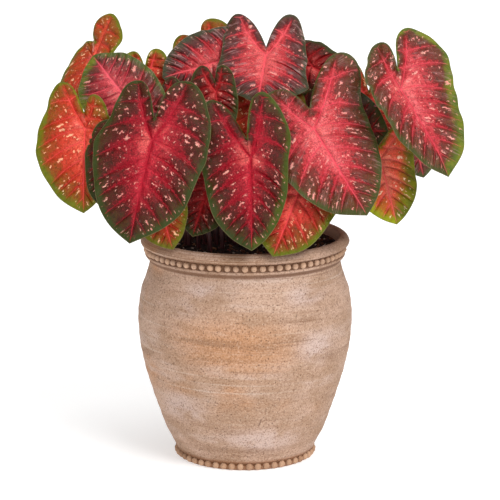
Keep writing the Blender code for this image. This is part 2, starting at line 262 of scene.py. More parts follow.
class Finish:
    """A material that is put together step by step from plain patterns."""

    def __init__(self, name: str) -> None:
        """Starts a finish with nothing in it but its surface shader."""
        self.material = bpy.data.materials.new(name)
        self.material.use_nodes = True
        self.tree = self.material.node_tree
        self.surface = self.tree.nodes["Principled BSDF"]

    def feed(self, socket: Socket, value: object) -> None:
        """Joins a pattern to a socket, or sets it to a plain number or colour."""
        if isinstance(value, Socket):
            self.tree.links.new(value, socket)
        else:
            socket.default_value = value

    def node(self, kind: str, *values: object, **settings: object) -> bpy.types.Node:
        """A new node.

        Args:
            kind: What it does.
            *values: Patterns or numbers for its first sockets.
            **settings: Its choices by name, made before its sockets are fed.

        Returns:
            The node.
        """
        node = self.tree.nodes.new("ShaderNode" + kind)
        for name, setting in settings.items():
            setattr(node, name, setting)
        for socket, value in zip(node.inputs, values):
            self.feed(socket, value)
        return node

    def sum_up(self, operation: str, *values: object) -> Socket:
        """One step of arithmetic on numbers or patterns."""
        return self.node("Math", *values, operation=operation).outputs[0]

    def add(self, first: object, *others: object) -> object:
        """The sum of numbers or patterns."""
        for other in others:
            first = self.sum_up("ADD", first, other)
        return first

    def times(self, first: object, *others: object) -> object:
        """The product of numbers or patterns."""
        for other in others:
            first = self.sum_up("MULTIPLY", first, other)
        return first

    def sway(self, pattern: object, by: float) -> Socket:
        """A pattern counted from one half, times a number."""
        return self.times(self.sum_up("SUBTRACT", pattern, 0.5), by)

    def far(self, across: object, along: object) -> Socket:
        """How far a place is from the middle: the root of the sum of both squares."""
        return self.sum_up("SQRT", self.add(self.times(across, across), self.times(along, along)))

    def slide(self, value: object, low: float, high: float, start: float, end: float) -> Socket:
        """A straight change from start, where value is at low, to end, where it is at high."""
        return self.node("MapRange", value, low, high, start, end).outputs[0]

    def rise(self, value: object, low: object, high: object, start: float = 0.0, end: float = 1.0) -> Socket:
        """A soft step from start, where value is at low, to end, where it is at high."""
        return self.node("MapRange", value, low, high, start, end, interpolation_type="SMOOTHSTEP").outputs[0]

    def coats(self, colour: object, *layers: tuple) -> object:
        """Colours laid one over another.

        Args:
            colour: The lowest.
            *layers: Each a colour, and the shares whose product says how much of it covers.

        Returns:
            What shows.
        """
        for over, *shares in layers:
            mixed = self.node("Mix", self.times(*shares), data_type="RGBA")
            self.feed(mixed.inputs[6], colour)
            self.feed(mixed.inputs[7], over)
            colour = mixed.outputs[2]
        return colour

    def mark(self, name: str) -> Socket:
        """A triple of numbers that the piece's mesh holds at each point."""
        return self.node("Attribute", attribute_name=name).outputs["Vector"]

    def spot(self) -> Socket:
        """The place on the piece, in metres."""
        return self.node("TexCoord").outputs["Object"]

    def parts(self, vector: Socket) -> list[Socket]:
        """The three numbers of a triple."""
        return list(self.node("SeparateXYZ", vector).outputs)

    def placed(self, vector: object, by: Spot = (1.0, 1.0, 1.0), shift: Spot = (0.0, 0.0, 0.0),
               turn: Spot = (0.0, 0.0, 0.0)) -> Socket:
        """A place stretched, then turned, then shifted."""
        return self.node("Mapping", vector, shift, turn, by).outputs[0]

    def cloud(self, vector: object, scale: float, detail: float = 2.0, rough: float = 0.5,
              bent: float = 0.0) -> Socket:
        """Soft noise about one half, with scale features to a unit of the place."""
        node = self.node("TexNoise", vector)
        for name, value in (("Scale", scale), ("Detail", detail), ("Roughness", rough), ("Distortion", bent)):
            node.inputs[name].default_value = value
        return node.outputs[0]

    def cells(self, vector: object, scale: float, feature: str = "F1", flat: bool = True) -> bpy.types.Node:
        """Cells round scattered seeds, with scale cells to a unit of the place, in the plane or in space."""
        node = self.node("TexVoronoi", vector, voronoi_dimensions="2D" if flat else "3D", feature=feature)
        node.inputs["Scale"].default_value = scale
        return node

    def jostled(self, vector: object, pattern: object, by: float) -> Socket:
        """A place pushed about by a pattern, up to half of by each way."""
        push = self.sway(pattern, by)
        way = self.node("CombineXYZ", push, self.times(push, -0.7)).outputs[0]
        return self.node("VectorMath", vector, way, operation="ADD").outputs[0]

    def flecks(self, vector: object, pattern: object, scale: float, drawn: float, size: float,
               share: float) -> Socket:
        """Ragged flecks, one in each of a share of the cells, of uneven sizes and drawn out along the laterals.

        Args:
            vector: Place across and along the laterals.
            pattern: Noise that makes their edges ragged.
            scale: Cells to a millimetre.
            drawn: Width of a cell beside its length.
            size: Half width of the largest, as a share of a cell.
            share: Share of the cells that hold a fleck.

        Returns:
            One on a fleck and nothing beside it.
        """
        cells = self.cells(self.placed(self.jostled(vector, pattern, 9.0), (1.0, drawn, 1.0)), scale)
        chance, grade, _ = self.parts(cells.outputs["Color"])
        radius = self.times(self.slide(grade, 0.0, 1.0, 0.35, 1.0), size)
        spot = self.rise(cells.outputs["Distance"], self.times(radius, 0.7), radius, 1.0, 0.0)
        return self.times(spot, self.sum_up("LESS_THAN", chance, share))

    def stain(self, spot: object, middle: Spot, reach: Spot) -> Socket:
        """A soft stain: one at its middle and nothing beyond its reach in each direction."""
        shift = tuple(-at / size for at, size in zip(middle, reach))
        within = self.placed(spot, tuple(1 / size for size in reach), shift)
        return self.rise(self.node("VectorMath", within, operation="LENGTH").outputs["Value"], 0.2, 1.0, 1.0, 0.0)

    def relief(self, height: object, depth: float) -> Socket:
        """Raises the surface by a pattern, depth metres for a height of one."""
        node = self.node("Bump")
        for name, value in (("Strength", 1.0), ("Distance", depth), ("Height", height)):
            self.feed(node.inputs[name], value)
        return node.outputs[0]

    def done(self, colour: object, rough: object, normal: object, shine: float = 0.5) -> bpy.types.Material:
        """Joins the patterns to the surface shader.

        Args:
            colour: Colour of the surface.
            rough: How rough it is.
            normal: Its relief.
            shine: Strength of its gloss, the same all over.

        Returns:
            The material.
        """
        for name, value in (("Base Color", colour), ("Roughness", rough), ("Normal", normal)):
            self.feed(self.surface.inputs[name], value)
        self.surface.inputs["Specular IOR Level"].default_value = shine
        return self.material


@dataclass(frozen=True)
class LeafTones:
    """The colours of one kind of leaf and how far each reaches.

    Attributes:
        heart: The middle of the blade, round the junction and the ribs.
        vein: The flanks of the ribs and laterals.
        groove: The darkest red of the stipple.
        thread: The thin line in the middle of a rib or lateral.
        ground: The dark part between the laterals.
        margin: The band along the edge.
        dusk: Where the red darkens into the ground.
        shadow: The darkest mottling.
        fleck: The pale flecks between the laterals.
        glow: The pale pink of the painted highlight round the junction, also used for the pale stipple.
        lime: The yellow-green and the green that may take the place of the margin.
        hem: The thin line at the very edge.
        painted_sheen_tone: The pale streaks along the laterals, a painted sheen.
        back: The underside's green and pink, its darker mottling and its veins.
        reach: How much further out than usual the red goes, as a share.
        flecks: How many flecks there are, 0 to 1.
        bloom: How strong the pale streaks of painted sheen are, 0 to 1.
        gloss: Strength of the shine.
        band: Width of the band along the edge, in millimetres.
    """

    heart: Colour
    vein: Colour
    groove: Colour
    thread: Colour
    ground: Colour
    margin: Colour
    dusk: Colour
    shadow: Colour = tone(30, 16, 8)
    fleck: Colour = tone(242, 172, 156)
    glow: Colour = tone(246, 112, 104)
    lime: tuple[Colour, Colour] = (tone(116, 128, 6), tone(78, 104, 8))
    hem: Colour = tone(140, 120, 80)
    painted_sheen_tone: Colour = tone(206, 160, 158)
    back: tuple[Colour, ...] = (tone(136, 132, 92), tone(190, 114, 104), tone(142, 96, 84), tone(222, 136, 122))
    reach: float = 0.0
    flecks: float = 0.6
    bloom: float = 0.0
    gloss: float = 0.18
    band: float = 4.5


def leaf_tones(*screen: tuple[int, int, int], **rest: float) -> LeafTones:
    """A kind's colours from screen values, in the order of LeafTones, and its other numbers by name."""
    return LeafTones(*(tone(*values) for values in screen), **rest)


class Kind(Enum):
    """The kinds of leaf that the plant carries, from the coral ones, the brightest with painted light, to those in the
    shade, with painted shade in their darker colours.
    """

    CRIMSON = leaf_tones((156, 18, 34), (198, 36, 54), (110, 2, 20), (160, 8, 34), (56, 24, 6), (46, 62, 16),
                         (98, 16, 14), reach=0.03, band=5.5)
    ROSE = leaf_tones((204, 54, 62), (244, 106, 110), (150, 12, 32), (232, 62, 84), (82, 44, 20), (56, 70, 14),
                      (130, 30, 22), bloom=0.22, reach=0.02, gloss=0.28, band=5.0)
    PLUM = leaf_tones((196, 42, 50), (244, 100, 100), (132, 8, 26), (238, 80, 92), (52, 26, 20), (44, 54, 26),
                      (108, 20, 26), bloom=0.42, reach=0.02, flecks=0.5, gloss=0.28, band=5.0)
    CORAL = leaf_tones((206, 62, 38), (242, 98, 76), (182, 24, 28), (238, 66, 72), (138, 76, 12), (96, 104, 4),
                       (174, 56, 20), (90, 36, 4), (250, 206, 160), reach=0.02)
    DUSKY = leaf_tones((180, 44, 52), (236, 92, 98), (138, 14, 36), (240, 92, 108), (72, 46, 26), (56, 76, 26),
                       (126, 36, 30), bloom=0.30, reach=0.05, flecks=0.5, gloss=0.30)
    # Painted shade: darker colours for the leaves deep in the plant.
    SHADE = leaf_tones((140, 22, 22), (180, 40, 38), (98, 6, 14), (176, 28, 38), (56, 32, 6), (42, 54, 8),
                       (92, 22, 14), flecks=0.5, reach=0.06)
    LIME = leaf_tones((212, 60, 48), (242, 94, 80), (180, 22, 32), (236, 70, 76), (116, 68, 10), (88, 104, 4),
                      (158, 48, 22), (74, 32, 4), (250, 206, 160), reach=0.08)
    # Painted light: brightened colours for low_right, standing in for the light that passes through it.
    PAINTED_LIGHT_CORAL = leaf_tones((246, 100, 76), (255, 138, 112), (224, 50, 50), (250, 98, 98), (176, 118, 26),
                       (152, 168, 14), (218, 96, 44), (128, 78, 12), (255, 226, 192), reach=0.12)
    OLIVE = leaf_tones((200, 66, 32), (238, 88, 62), (170, 28, 26), (228, 66, 66), (140, 86, 10), (104, 112, 4),
                       (176, 66, 18), (96, 46, 4), (250, 206, 160), flecks=0.55, reach=0.10)


# --------------------------------------------------------------------------- leaves


@dataclass(frozen=True)
class Leaf:
    """One leaf: where its blade hangs, its shape, and the kind of its colours.

    Attributes:
        name: Ending of the names of its nodes.
        junction: Where the stalk meets the blade, in millimetres.
        tip: The blade's tip.
        faces: Compass angle and rise of the way the upper face looks, in degrees.
        root: Where its stalk leaves the soil.
        kind: The kind of its colours.
        halves: Width of the left and the right half.
        lobes: Length of the left and the right lobe.
        spread: Width of each lobe beside that of its half.
        swing: How far each lobe leans to the right.
        arch: Height of the midrib's arch, as a share of the length.
        lift: How far the lobes turn up.
        fold: How far the sides fall back from the midrib.
        lime: How far yellow-green takes the place of the margin on the left and the right half.
        belly: How much wider each half is two thirds of the way to the tip.
        frill: Height of the frill along the margin beside the usual.
        club: How much wider each lobe is in its own middle.
        waist: How much wider each half is beside the junction.
    """

    name: str
    junction: Spot
    tip: Spot
    faces: Pair
    root: Pair
    kind: Kind
    halves: Pair = (1.0, 1.0)
    lobes: Pair = (1.0, 1.0)
    spread: Pair = (1.0, 1.0)
    swing: Pair = (0.0, 0.0)
    arch: float = 0.12
    lift: float = 0.0
    fold: float = 0.10
    lime: Pair = (0.0, 0.0)
    belly: Pair = (0.0, 0.0)
    frill: float = 1.0
    club: Pair = (0.0, 0.0)
    waist: Pair = (0.0, 0.0)


LEAVES = [
    Leaf("front_left", (-119, -125, 453), (-147, -175, 328), (-100, 20), (-62, -34), Kind.CRIMSON,
         halves=(1.03, 1.02), lobes=(0.95, 1.13), spread=(0.78, 1.05), swing=(-0.15, -0.1), arch=0.08),
    Leaf("front_middle", (8, -130, 431), (9, -165, 316), (-90, 18), (4, -50), Kind.CRIMSON, lime=(0, 0.25),
         halves=(1.0, 0.78), lobes=(1.14, 1.35), spread=(0.9, 1.2), swing=(-0.35, -0.1), arch=0.08),
    Leaf("front_right", (90, -90, 462), (157, -133, 355), (-78, 20), (44, -42), Kind.ROSE,
         halves=(1.02, 1.0), lobes=(0.9, 1.0), spread=(0.9, 1.25), swing=(0.0, 0.65), arch=0.10),
    Leaf("crown", (28, 5, 545), (17, -68, 491), (-90, 45), (10, -6), Kind.PLUM,
         halves=(1.25, 1.15), lobes=(1.45, 1.6), swing=(-0.28, 0.05), lift=0.35, belly=(0.25, 0.4)),
    Leaf("under_crown", (25, -45, 476), (28, -62, 402), (-90, 20), (22, -26), Kind.CORAL, halves=(1.2, 1.4)),
    Leaf("small_middle", (-37, -82, 509), (-27, -98, 448), (-95, 15), (-14, -30), Kind.SHADE,
         halves=(1.0, 0.8), lobes=(1.0, 0.85)),
    Leaf("upper_left", (-35, 23, 534), (-109, -12, 516), (-88, 20), (-20, -6), Kind.PLUM,
         halves=(1.07, 1.0), arch=0.06),
    Leaf("shoulder_left", (-156, -50, 497), (-202, 15, 542), (-134, 46), (-54, -12), Kind.DUSKY,
         halves=(1.0, 1.2), lobes=(1.0, 2.3), arch=0.2, lime=(0.3, 0.8)),
    Leaf("top_left", (-204, 40, 534), (-260, 0, 434), (-140, 26), (-58, 10), Kind.OLIVE, halves=(0.68, 0.55),
         lobes=(0.05, 1.1), spread=(0.6, 1.35), swing=(-0.7, -0.8), lime=(0.5, 0.5), frill=0.2, club=(0, 0.9)),
    Leaf("far_left", (-207, -85, 461), (-209, -115, 355), (-98, 20), (-78, -14), Kind.CORAL,
         halves=(1.15, 0.7), lobes=(0.95, 0.55), spread=(0.75, 0.8), swing=(-0.2, -0.1), lime=(0.5, 0)),
    Leaf("shaded_left", (-162, -110, 440), (-181, -134, 363), (-105, 10), (-74, -30), Kind.SHADE,
         lobes=(0.6, 0.6), frill=0.4),
    Leaf("rim_left", (-116, -95, 382), (-93, -122, 308), (-100, 25), (-46, -62), Kind.CORAL,
         halves=(1.0, 0.85), lobes=(0.6, 0.6)),
    Leaf("rim_middle", (-45, -82, 391), (-68, -107, 322), (-95, 15), (-30, -46), Kind.SHADE, lobes=(0.6, 0.6)),
    Leaf("rim_right", (75, -100, 392), (36, -147, 304), (-85, 25), (30, -64), Kind.LIME, lobes=(0.7, 0.6)),
    # Painted light: its brightened colours stand in for the light passing through it.
    Leaf("low_right", (178, -45, 413), (199, -73, 331), (-75, 20), (68, -30), Kind.PAINTED_LIGHT_CORAL,
         lobes=(0.6, 0.9), swing=(-0.3, 0.8), lime=(0.3, 2.4)),
    Leaf("far_right", (203, -75, 511), (264, -117, 404), (-60, 20), (60, -10), Kind.ROSE, halves=(0.74, 0.98),
         lobes=(0.9, 1.0), spread=(1.1, 1.02), swing=(0.5, 0.34), waist=(0, 0.22), fold=-0.12, lime=(0, 0.9)),
    Leaf("behind_right", (166, -5, 482), (167, -25, 408), (-70, 20), (50, 14), Kind.CORAL,
         halves=(1.3, 1.6), lobes=(1.4, 1.5)),
    Leaf("top_right", (90, 30, 526), (147, 10, 494), (-85, 25), (30, 6), Kind.SHADE),
    Leaf("behind_upper_left", (-47, 50, 529), (-8, 30, 453), (-90, 20), (-30, 18), Kind.CORAL,
         lobes=(1.0, 1.1), spread=(1.0, 1.1)),
    Leaf("behind_shoulder", (-132, 7, 514), (-126, -13, 451), (-95, 20), (-40, 6), Kind.CORAL, lime=(0.6, 0.6)),
    Leaf("gap_left", (-111, -42, 486), (-110, -58, 425), (-95, 20), (-38, -20), Kind.SHADE,
         halves=(0.85, 1.0), lobes=(0.8, 1.0)),
    Leaf("gap_right", (106, -48, 448), (187, -72, 456), (-75, 25), (48, -24), Kind.SHADE,
         halves=(1.0, 1.5), lobes=(1.0, 1.4)),
    Leaf("under_far_right", (217, 30, 459), (240, 10, 378), (-60, 20), (72, 18), Kind.DUSKY),
    Leaf("back_left", (-120, 110, 486), (-180, 180, 406), (130, 35), (-50, 34), Kind.CRIMSON),
    Leaf("back_right", (140, 90, 480), (200, 150, 400), (50, 35), (48, 36), Kind.ROSE),
    Leaf("back_crown", (15, 130, 506), (15, 215, 446), (90, 50), (4, 26), Kind.ROSE),
    Leaf("back_low_left", (-105, 154, 410), (-140, 215, 320), (115, 25), (-28, 58), Kind.CORAL,
         halves=(0.9, 0.9)),
    Leaf("back_low_middle", (8, 170, 420), (12, 235, 310), (90, 25), (4, 60), Kind.CRIMSON,
         halves=(0.85, 0.85)),
    Leaf("back_low_right", (118, 150, 410), (150, 210, 320), (65, 25), (36, 56), Kind.LIME, halves=(0.9, 0.9)),
]

SINUS = -0.20  # the end of the slit between the lobes, behind the junction, in lengths of the blade
HALF_OUTLINE = [  # along and across from the tip, round the lobe, to the sinus
    (1.00, 0.00), (0.955, 0.085), (0.84, 0.25), (0.65, 0.39), (0.38, 0.485), (0.02, 0.525),
    (-0.33, 0.48), (-0.51, 0.39), (-0.605, 0.25), (-0.56, 0.13), (-0.39, 0.045), (SINUS, 0.00),
]
BLADE_THICKNESS = 1.0
RIB_DEPTH = 0.016  # depth of the groove of a rib, as a share of the blade's length
VEIN_STEP = 0.16  # share of the blade's length from one lateral to the next
WAVE = 0.02  # height of the five waves round the margin, as a share of the length
DEEP = 0.44  # how far from the edge the middle of a blade begins, as a share of the length
NEXT_HALF = 300.0  # how far apart the patterns of the two halves of a blade are taken
NEXT_LEAF = 500.0  # how far apart the patterns of two leaves are taken


@dataclass
class Blade:
    """One blade: a shell of rings round the junction, as thick as the solid it stands for.

    Attributes:
        leaf: The leaf that it belongs to.
        seed: A number of its own, which its patterns and bends start from.
        side_points: How many points its outline has from the sinus to the tip.
        rings: How many rings lie between the junction and the outline.
    """

    leaf: Leaf
    seed: int = 0
    side_points: int = 88
    rings: int = 34

    def frame(self) -> tuple[Array, float, Array, Array, Array]:
        """Where the blade lies.

        Returns:
            The junction, the length, and the ways along, to the right and out of the upper face.
        """
        junction, tip = np.array(self.leaf.junction, float), np.array(self.leaf.tip, float)
        length = float(np.linalg.norm(tip - junction))
        along = (tip - junction) / length
        compass, rise = (math.radians(angle) for angle in self.leaf.faces)
        level = math.cos(rise)
        outwards = np.array([math.cos(compass) * level, math.sin(compass) * level, math.sin(rise)])
        normal = unit(outwards - outwards @ along * along)
        return junction, length, along, np.cross(normal, along), normal

    def shaped(self, plain: Array, side: int) -> Array:
        """Bends a plain half outline into this leaf's own.

        Behind the sinus the lobe is drawn out to its length and leans by its swing, and its width
        grows from that of the half to that of the lobe between the junction and the sinus. The
        belly widens it by up to its share, most two thirds of the way to the tip, and the waist
        most beside the junction. A club widens the lobe about its own middle. Two sines of the
        place along ripple the width. The lean of both lobes sets in with the square of the way
        back, from a little before the junction.

        Args:
            plain: Points along and across of the plain half, in lengths of the blade.
            side: 0 for the left half, 1 for the right.

        Returns:
            The points along and across of this leaf's half, across counted to the right.
        """
        leaf = self.leaf
        along, across = plain[:, 0], plain[:, 1]
        beyond = np.maximum(SINUS - along, 0) * leaf.lobes[side]
        behind = np.clip(-along, 0, -SINUS)
        onset = 0.22 * np.clip((0.22 - along) / 0.44, 0, 0.955) ** 2
        full = np.maximum(1 - ((along - 0.62) / 0.42) ** 2, 0) ** 2
        beside = np.maximum(1 - ((along + 0.10) / 0.30) ** 2, 0) ** 2
        widening = 1 + (leaf.spread[side] - 1) * behind / -SINUS
        widening = widening * (1 + leaf.belly[side] * full + leaf.waist[side] * beside)
        rippled = 1 + 0.022 * np.sin(9 * along + 1.9 * self.seed + 2 * side)
        rippled = rippled + 0.012 * np.sin(21 * along + self.seed - side)
        round_end = np.sin(np.pi * np.clip((SINUS - along) / 0.4, 0, 1)) * leaf.club[side]
        clubbed = across + (across - 0.25) * round_end
        width = clubbed * leaf.halves[side] * widening * rippled * (1 if side else -1)
        lean = (leaf.swing[0] + leaf.swing[1]) / 2 * onset + leaf.swing[side] * beyond
        return np.stack([np.maximum(along, SINUS) - beyond, width + lean], axis=1)

    @staticmethod
    def eased(line: Array, reach: int = 30) -> Array:
        """A line with its small kinks rounded.

        Args:
            line: Points along and across.
            reach: How many neighbours on each side a point is the weighted mean of.

        Returns:
            As many points, with the two ends kept.
        """
        padded = np.concatenate([2 * line[:1] - line[reach:0:-1], line, 2 * line[-1:] - line[-2:-reach - 2:-1]])
        weight = np.hanning(2 * reach + 3)[1:-1]
        return np.stack([np.convolve(padded[:, i], weight / weight.sum(), "valid") for i in (0, 1)], axis=1)

    def outline(self) -> tuple[Array, Array]:
        """The outline, point by point: sinus, left, tip, right.

        Returns:
            This leaf's outline and the plain one.
        """
        plain = smooth_run(np.array(HALF_OUTLINE, float), 400)
        own, flat = [], []
        for side in (0, 1):
            line = self.eased(self.shaped(plain, side))
            walked = run_length(line)
            even = np.linspace(0, walked[-1], self.side_points)
            for half, points in ((own, line), (flat, plain * (1, 1 if side else -1))):
                half.append(np.stack([np.interp(even, walked, points[:, i]) for i in (0, 1)], axis=1))
        return tuple(np.concatenate([left[::-1], right[1:-1]]) for left, right in (own, flat))

    def veins(self, plain: Array) -> tuple[Array, Array]:
        """Which lateral each point is near, and how far it is from a rib.

        A lateral leaves its rib at s and runs out at along = s + (0.02 + 1.3 s) x + 0.95 x^2, for x
        across, so s = (along - 0.02 x - 0.95 x^2) / (1 + 1.3 x). The rib of a lobe is the curve
        x = 0.62 t - 0.35 t^2 for t behind the junction, and the points between it and the sinus
        are reckoned as their mirror images in it.

        Args:
            plain: Points along and across on the plain outline's leaf.

        Returns:
            The lateral's number, whole on its line, and the distance to the rib in lengths.
        """
        along, across = plain[..., 0], np.abs(plain[..., 1])
        right = np.where(plain[..., 1] > 1e-9, 1, -1)
        behind = np.maximum(-along, 0)
        rib = 0.62 * behind - 0.35 * behind**2
        inside = np.maximum(rib - across, 0)
        x = across + 2 * inside
        start = (along + 0.5 * inside - 0.02 * x - 0.95 * x**2) / (1 + 1.3 * x)
        apart = 0.08 * ease(start, 0.04, 0.2) * np.where(right > 0, 1, -0.2)
        uneven = 0.02 * np.sin(11 * start + 1.7 * self.seed + 2.3 * right) * ease(np.abs(start), 0, 0.1)
        number = (start + apart + uneven) / VEIN_STEP
        off = np.where(along > 0, across, np.abs(across - rib) * (1 - 0.13 * ease(behind, 0, 0.1)))
        return number, off

    def height(self, own: Array, number: Array, off: Array, share: Array) -> Array:
        """How far each point stands out of the plane of the blade, in lengths.

        The form is an arch along the midrib, sides that fall back, raised lobes and five waves
        round the margin. On it the ribs and laterals lie in grooves with swellings between them,
        |sin| of the lateral's number. The blade bends in slow uneven swells, with a shallow frill
        of sines of the angle along the margin.

        Args:
            own: Points along and across, in lengths of the blade.
            number: Number of the lateral at each point.
            off: Distance to the rib.
            share: Share of the way out to the margin.

        Returns:
            The heights.
        """
        leaf, k = self.leaf, self.seed
        along, across = own[..., 0], own[..., 1]
        turn = np.arctan2(across, along)
        form = (
            leaf.arch * along * (1 - along)
            + leaf.lift * np.minimum(along, 0) ** 2
            - leaf.fold * (np.hypot(across, 0.1) - 0.1)
            + WAVE * (along**2 + across**2) * np.sin(5 * turn)
        )
        inner = ease(share, 0.03, 0.3) * ease(1 - share, 0.0, 0.25)
        swelling = 0.026 * (np.abs(np.sin(np.pi * number)) ** 0.8 - 0.5) * inner * ease(off, 0.01, 0.09)
        groove = -RIB_DEPTH * np.exp(-((off / 0.026) ** 2)) * (1 - 0.8 * share)
        swell = 0.012 * np.sin(5.1 * along + 1.3 * k) * np.sin(6.3 * across + 0.7 * k)
        swell = swell + 0.007 * np.sin(11 * along - 7 * across + 2.1 * k)
        frill = 0.022 * np.sin(8 * turn + 1.1 * k) + 0.010 * np.sin(17 * turn + 2.3 * k)
        return form + swelling + groove + swell * ease(share, 0.15, 0.8) + leaf.frill * frill * ease(share, 0.55, 1.05)

    def edge_distance(self, own: Array, outline: Array, plain: Array) -> Array:
        """How far each point is from the outline.

        Args:
            own: Points along and across, in lengths of the blade.
            outline: This leaf's outline.
            plain: The plain one, which says where the sinus is. It counts as further off.

        Returns:
            The least of the distances to the outline's straight sides, in lengths.
        """
        way = np.roll(outline, -1, axis=0) - outline
        flat = own.reshape(-1, 2)
        t = np.clip(((flat[:, None] - outline) * way).sum(-1) / np.maximum((way**2).sum(-1), 1e-12), 0, 1)
        away = np.linalg.norm(flat[:, None] - outline - t[..., None] * way, axis=-1)
        inner = ease(0.24 - np.abs(plain[:, 1]), 0.0, 0.12) * ease(-plain[:, 0], 0.0, 0.1)
        return (away * (1 + 1.6 * inner)).min(axis=1).reshape(own.shape[:-1])

    def skin(self) -> Skin:
        """The closed shell: rings out over the upper face, round the edge and back over the lower.

        Returns:
            The skin with its marks and its bake map.
        """
        junction, length, along, right, normal = self.frame()
        outline, plain_outline = self.outline()
        columns = len(outline)
        share = np.append(np.linspace(0, 1, self.rings + 1)[1:-1], (1 - 0.5 / length, 1))[:, None, None]
        own, plain = outline[None] * share, plain_outline[None] * share
        number, off = self.veins(plain)
        rise = self.height(own, number, off, share[..., 0])
        middle = junction + length * (own[..., :1] * along + own[..., 1:] * right + rise[..., None] * normal)
        pole = junction + length * self.height(np.zeros((1, 2)), *np.zeros((3, 1)))[0] * normal
        inward = np.concatenate([np.broadcast_to(pole, (1, columns, 3)), middle[:-1]])
        outward = np.concatenate([middle[1:], middle[-1:]])
        round_way = np.roll(middle, -1, axis=1) - np.roll(middle, 1, axis=1)
        upright = unit(np.cross(outward - inward, round_way))
        edge = self.edge_distance(own, outline, plain_outline) * length
        half = BLADE_THICKNESS / 2 * (0.6 + 0.4 * ease(edge, 0.5, 8.0))[..., None]
        upper, lower = middle + half * upright, middle - half * upright
        pole_way = unit(upright[0].mean(axis=0)) * BLADE_THICKNESS / 2
        rings = np.concatenate([upper[:-1], middle[-1:], lower[:-1][::-1]])
        quads, tris = ring_faces(len(rings), columns)

        def both(values: Array, at_pole: tuple[float, ...]) -> Array:
            """A mark of the upper face and edge, and the same again for the lower face."""
            return ring_points(at_pole, np.concatenate([values, values[:-1][::-1]]), at_pole)

        start = NEXT_LEAF * self.seed
        laterals = number * VEIN_STEP * length + start
        beside = np.abs(plain[..., 1]) * length + np.where(plain[..., 1] > 0, NEXT_HALF, 0.0)
        flat = both(triples(own[..., 0] * length + start, own[..., 1] * length, 0.0), (start, 0, 0))
        where = both(triples(plain[..., 0], plain[..., 1], 0.0), (0.0, 0.0, 0.0))
        where[1 + len(upper) * columns:, 2] = 1
        return Skin(
            ring_points(pole + pole_way, rings, pole - pole_way), quads, tris,
            {
                "leaf_veins": both(triples(number, off * length, edge), (0, 0, float(edge.max()))),
                "leaf_flat": flat,
                "leaf_streak": both(triples(laterals, beside, 0.0), (start, 0, 0)),
                "leaf_place": where,
            },
            self.chart(flat, len(upper), columns, quads, tris),
        )

    @staticmethod
    def chart(flat: Array, rings: int, columns: int, quads: Array, tris: Array) -> Array:
        """The flat bake map: the upper face laid out on three quarters of the square, the lower on the rest.

        Args:
            flat: Place of each point on the blade laid flat.
            rings: How many rings the upper face has.
            columns: How many points a ring has.
            quads: Corners of the four-sided faces.
            tris: Corners of the three-sided faces, those of the upper pole first.

        Returns:
            The place of each corner on the map.
        """
        low, high = flat[:, :2].min(axis=0), flat[:, :2].max(axis=0)
        laid = 0.01 + 0.98 * (flat[:, :2] - low) / (high - low)
        upper = np.stack([laid[:, 0], 0.745 * laid[:, 1]], axis=1)
        lower = np.stack([laid[:, 0], 0.755 + 0.24 * laid[:, 1]], axis=1)
        turned_down = ((quads, (rings - 1) * columns), (tris, columns))
        return np.concatenate([
            np.where((np.arange(len(faces)) >= first)[:, None, None], lower[faces], upper[faces]).reshape(-1, 2)
            for faces, first in turned_down
        ])

    def finish(self) -> bpy.types.Material:
        """The colours of the blade: heart, veins, ground, margin band, flecks, a painted highlight round the junction
        and a painted sheen.

        Closeness to the edge, from 0 deep inside to 1 at the margin, turns the heart into the
        ground. The laterals keep flanks of vein colour that narrow on their way out, with a thin
        groove in the middle. Flecks are cells stretched along the laterals, and keep off the ribs.

        Returns:
            The material.
        """
        leaf, tones = self.leaf, self.leaf.kind.value
        length = self.frame()[1]
        f = Finish("leaf_" + leaf.name)
        number, off, edge = f.parts(f.mark("leaf_veins"))
        along, across, under = f.parts(f.mark("leaf_place"))
        flat, streak = f.mark("leaf_flat"), f.mark("leaf_streak")

        patches = f.cloud(flat, 0.045, 3, 0.6)
        mottle = f.cloud(flat, 0.20, 4, 0.65)
        fine = f.cloud(flat, 0.50, 3, 0.7)
        grain = f.cloud(flat, 1.0, 3, 0.7)
        net = f.cells(f.jostled(flat, mottle, 4.0), 0.36, "DISTANCE_TO_EDGE").outputs["Distance"]
        apart = f.times(f.sum_up("PINGPONG", f.add(number, f.sway(mottle, 0.20)), 0.5), 2.0)
        close = f.slide(edge, 0.0, DEEP * length, 1.0, 0.0)
        out = f.far(along, across)

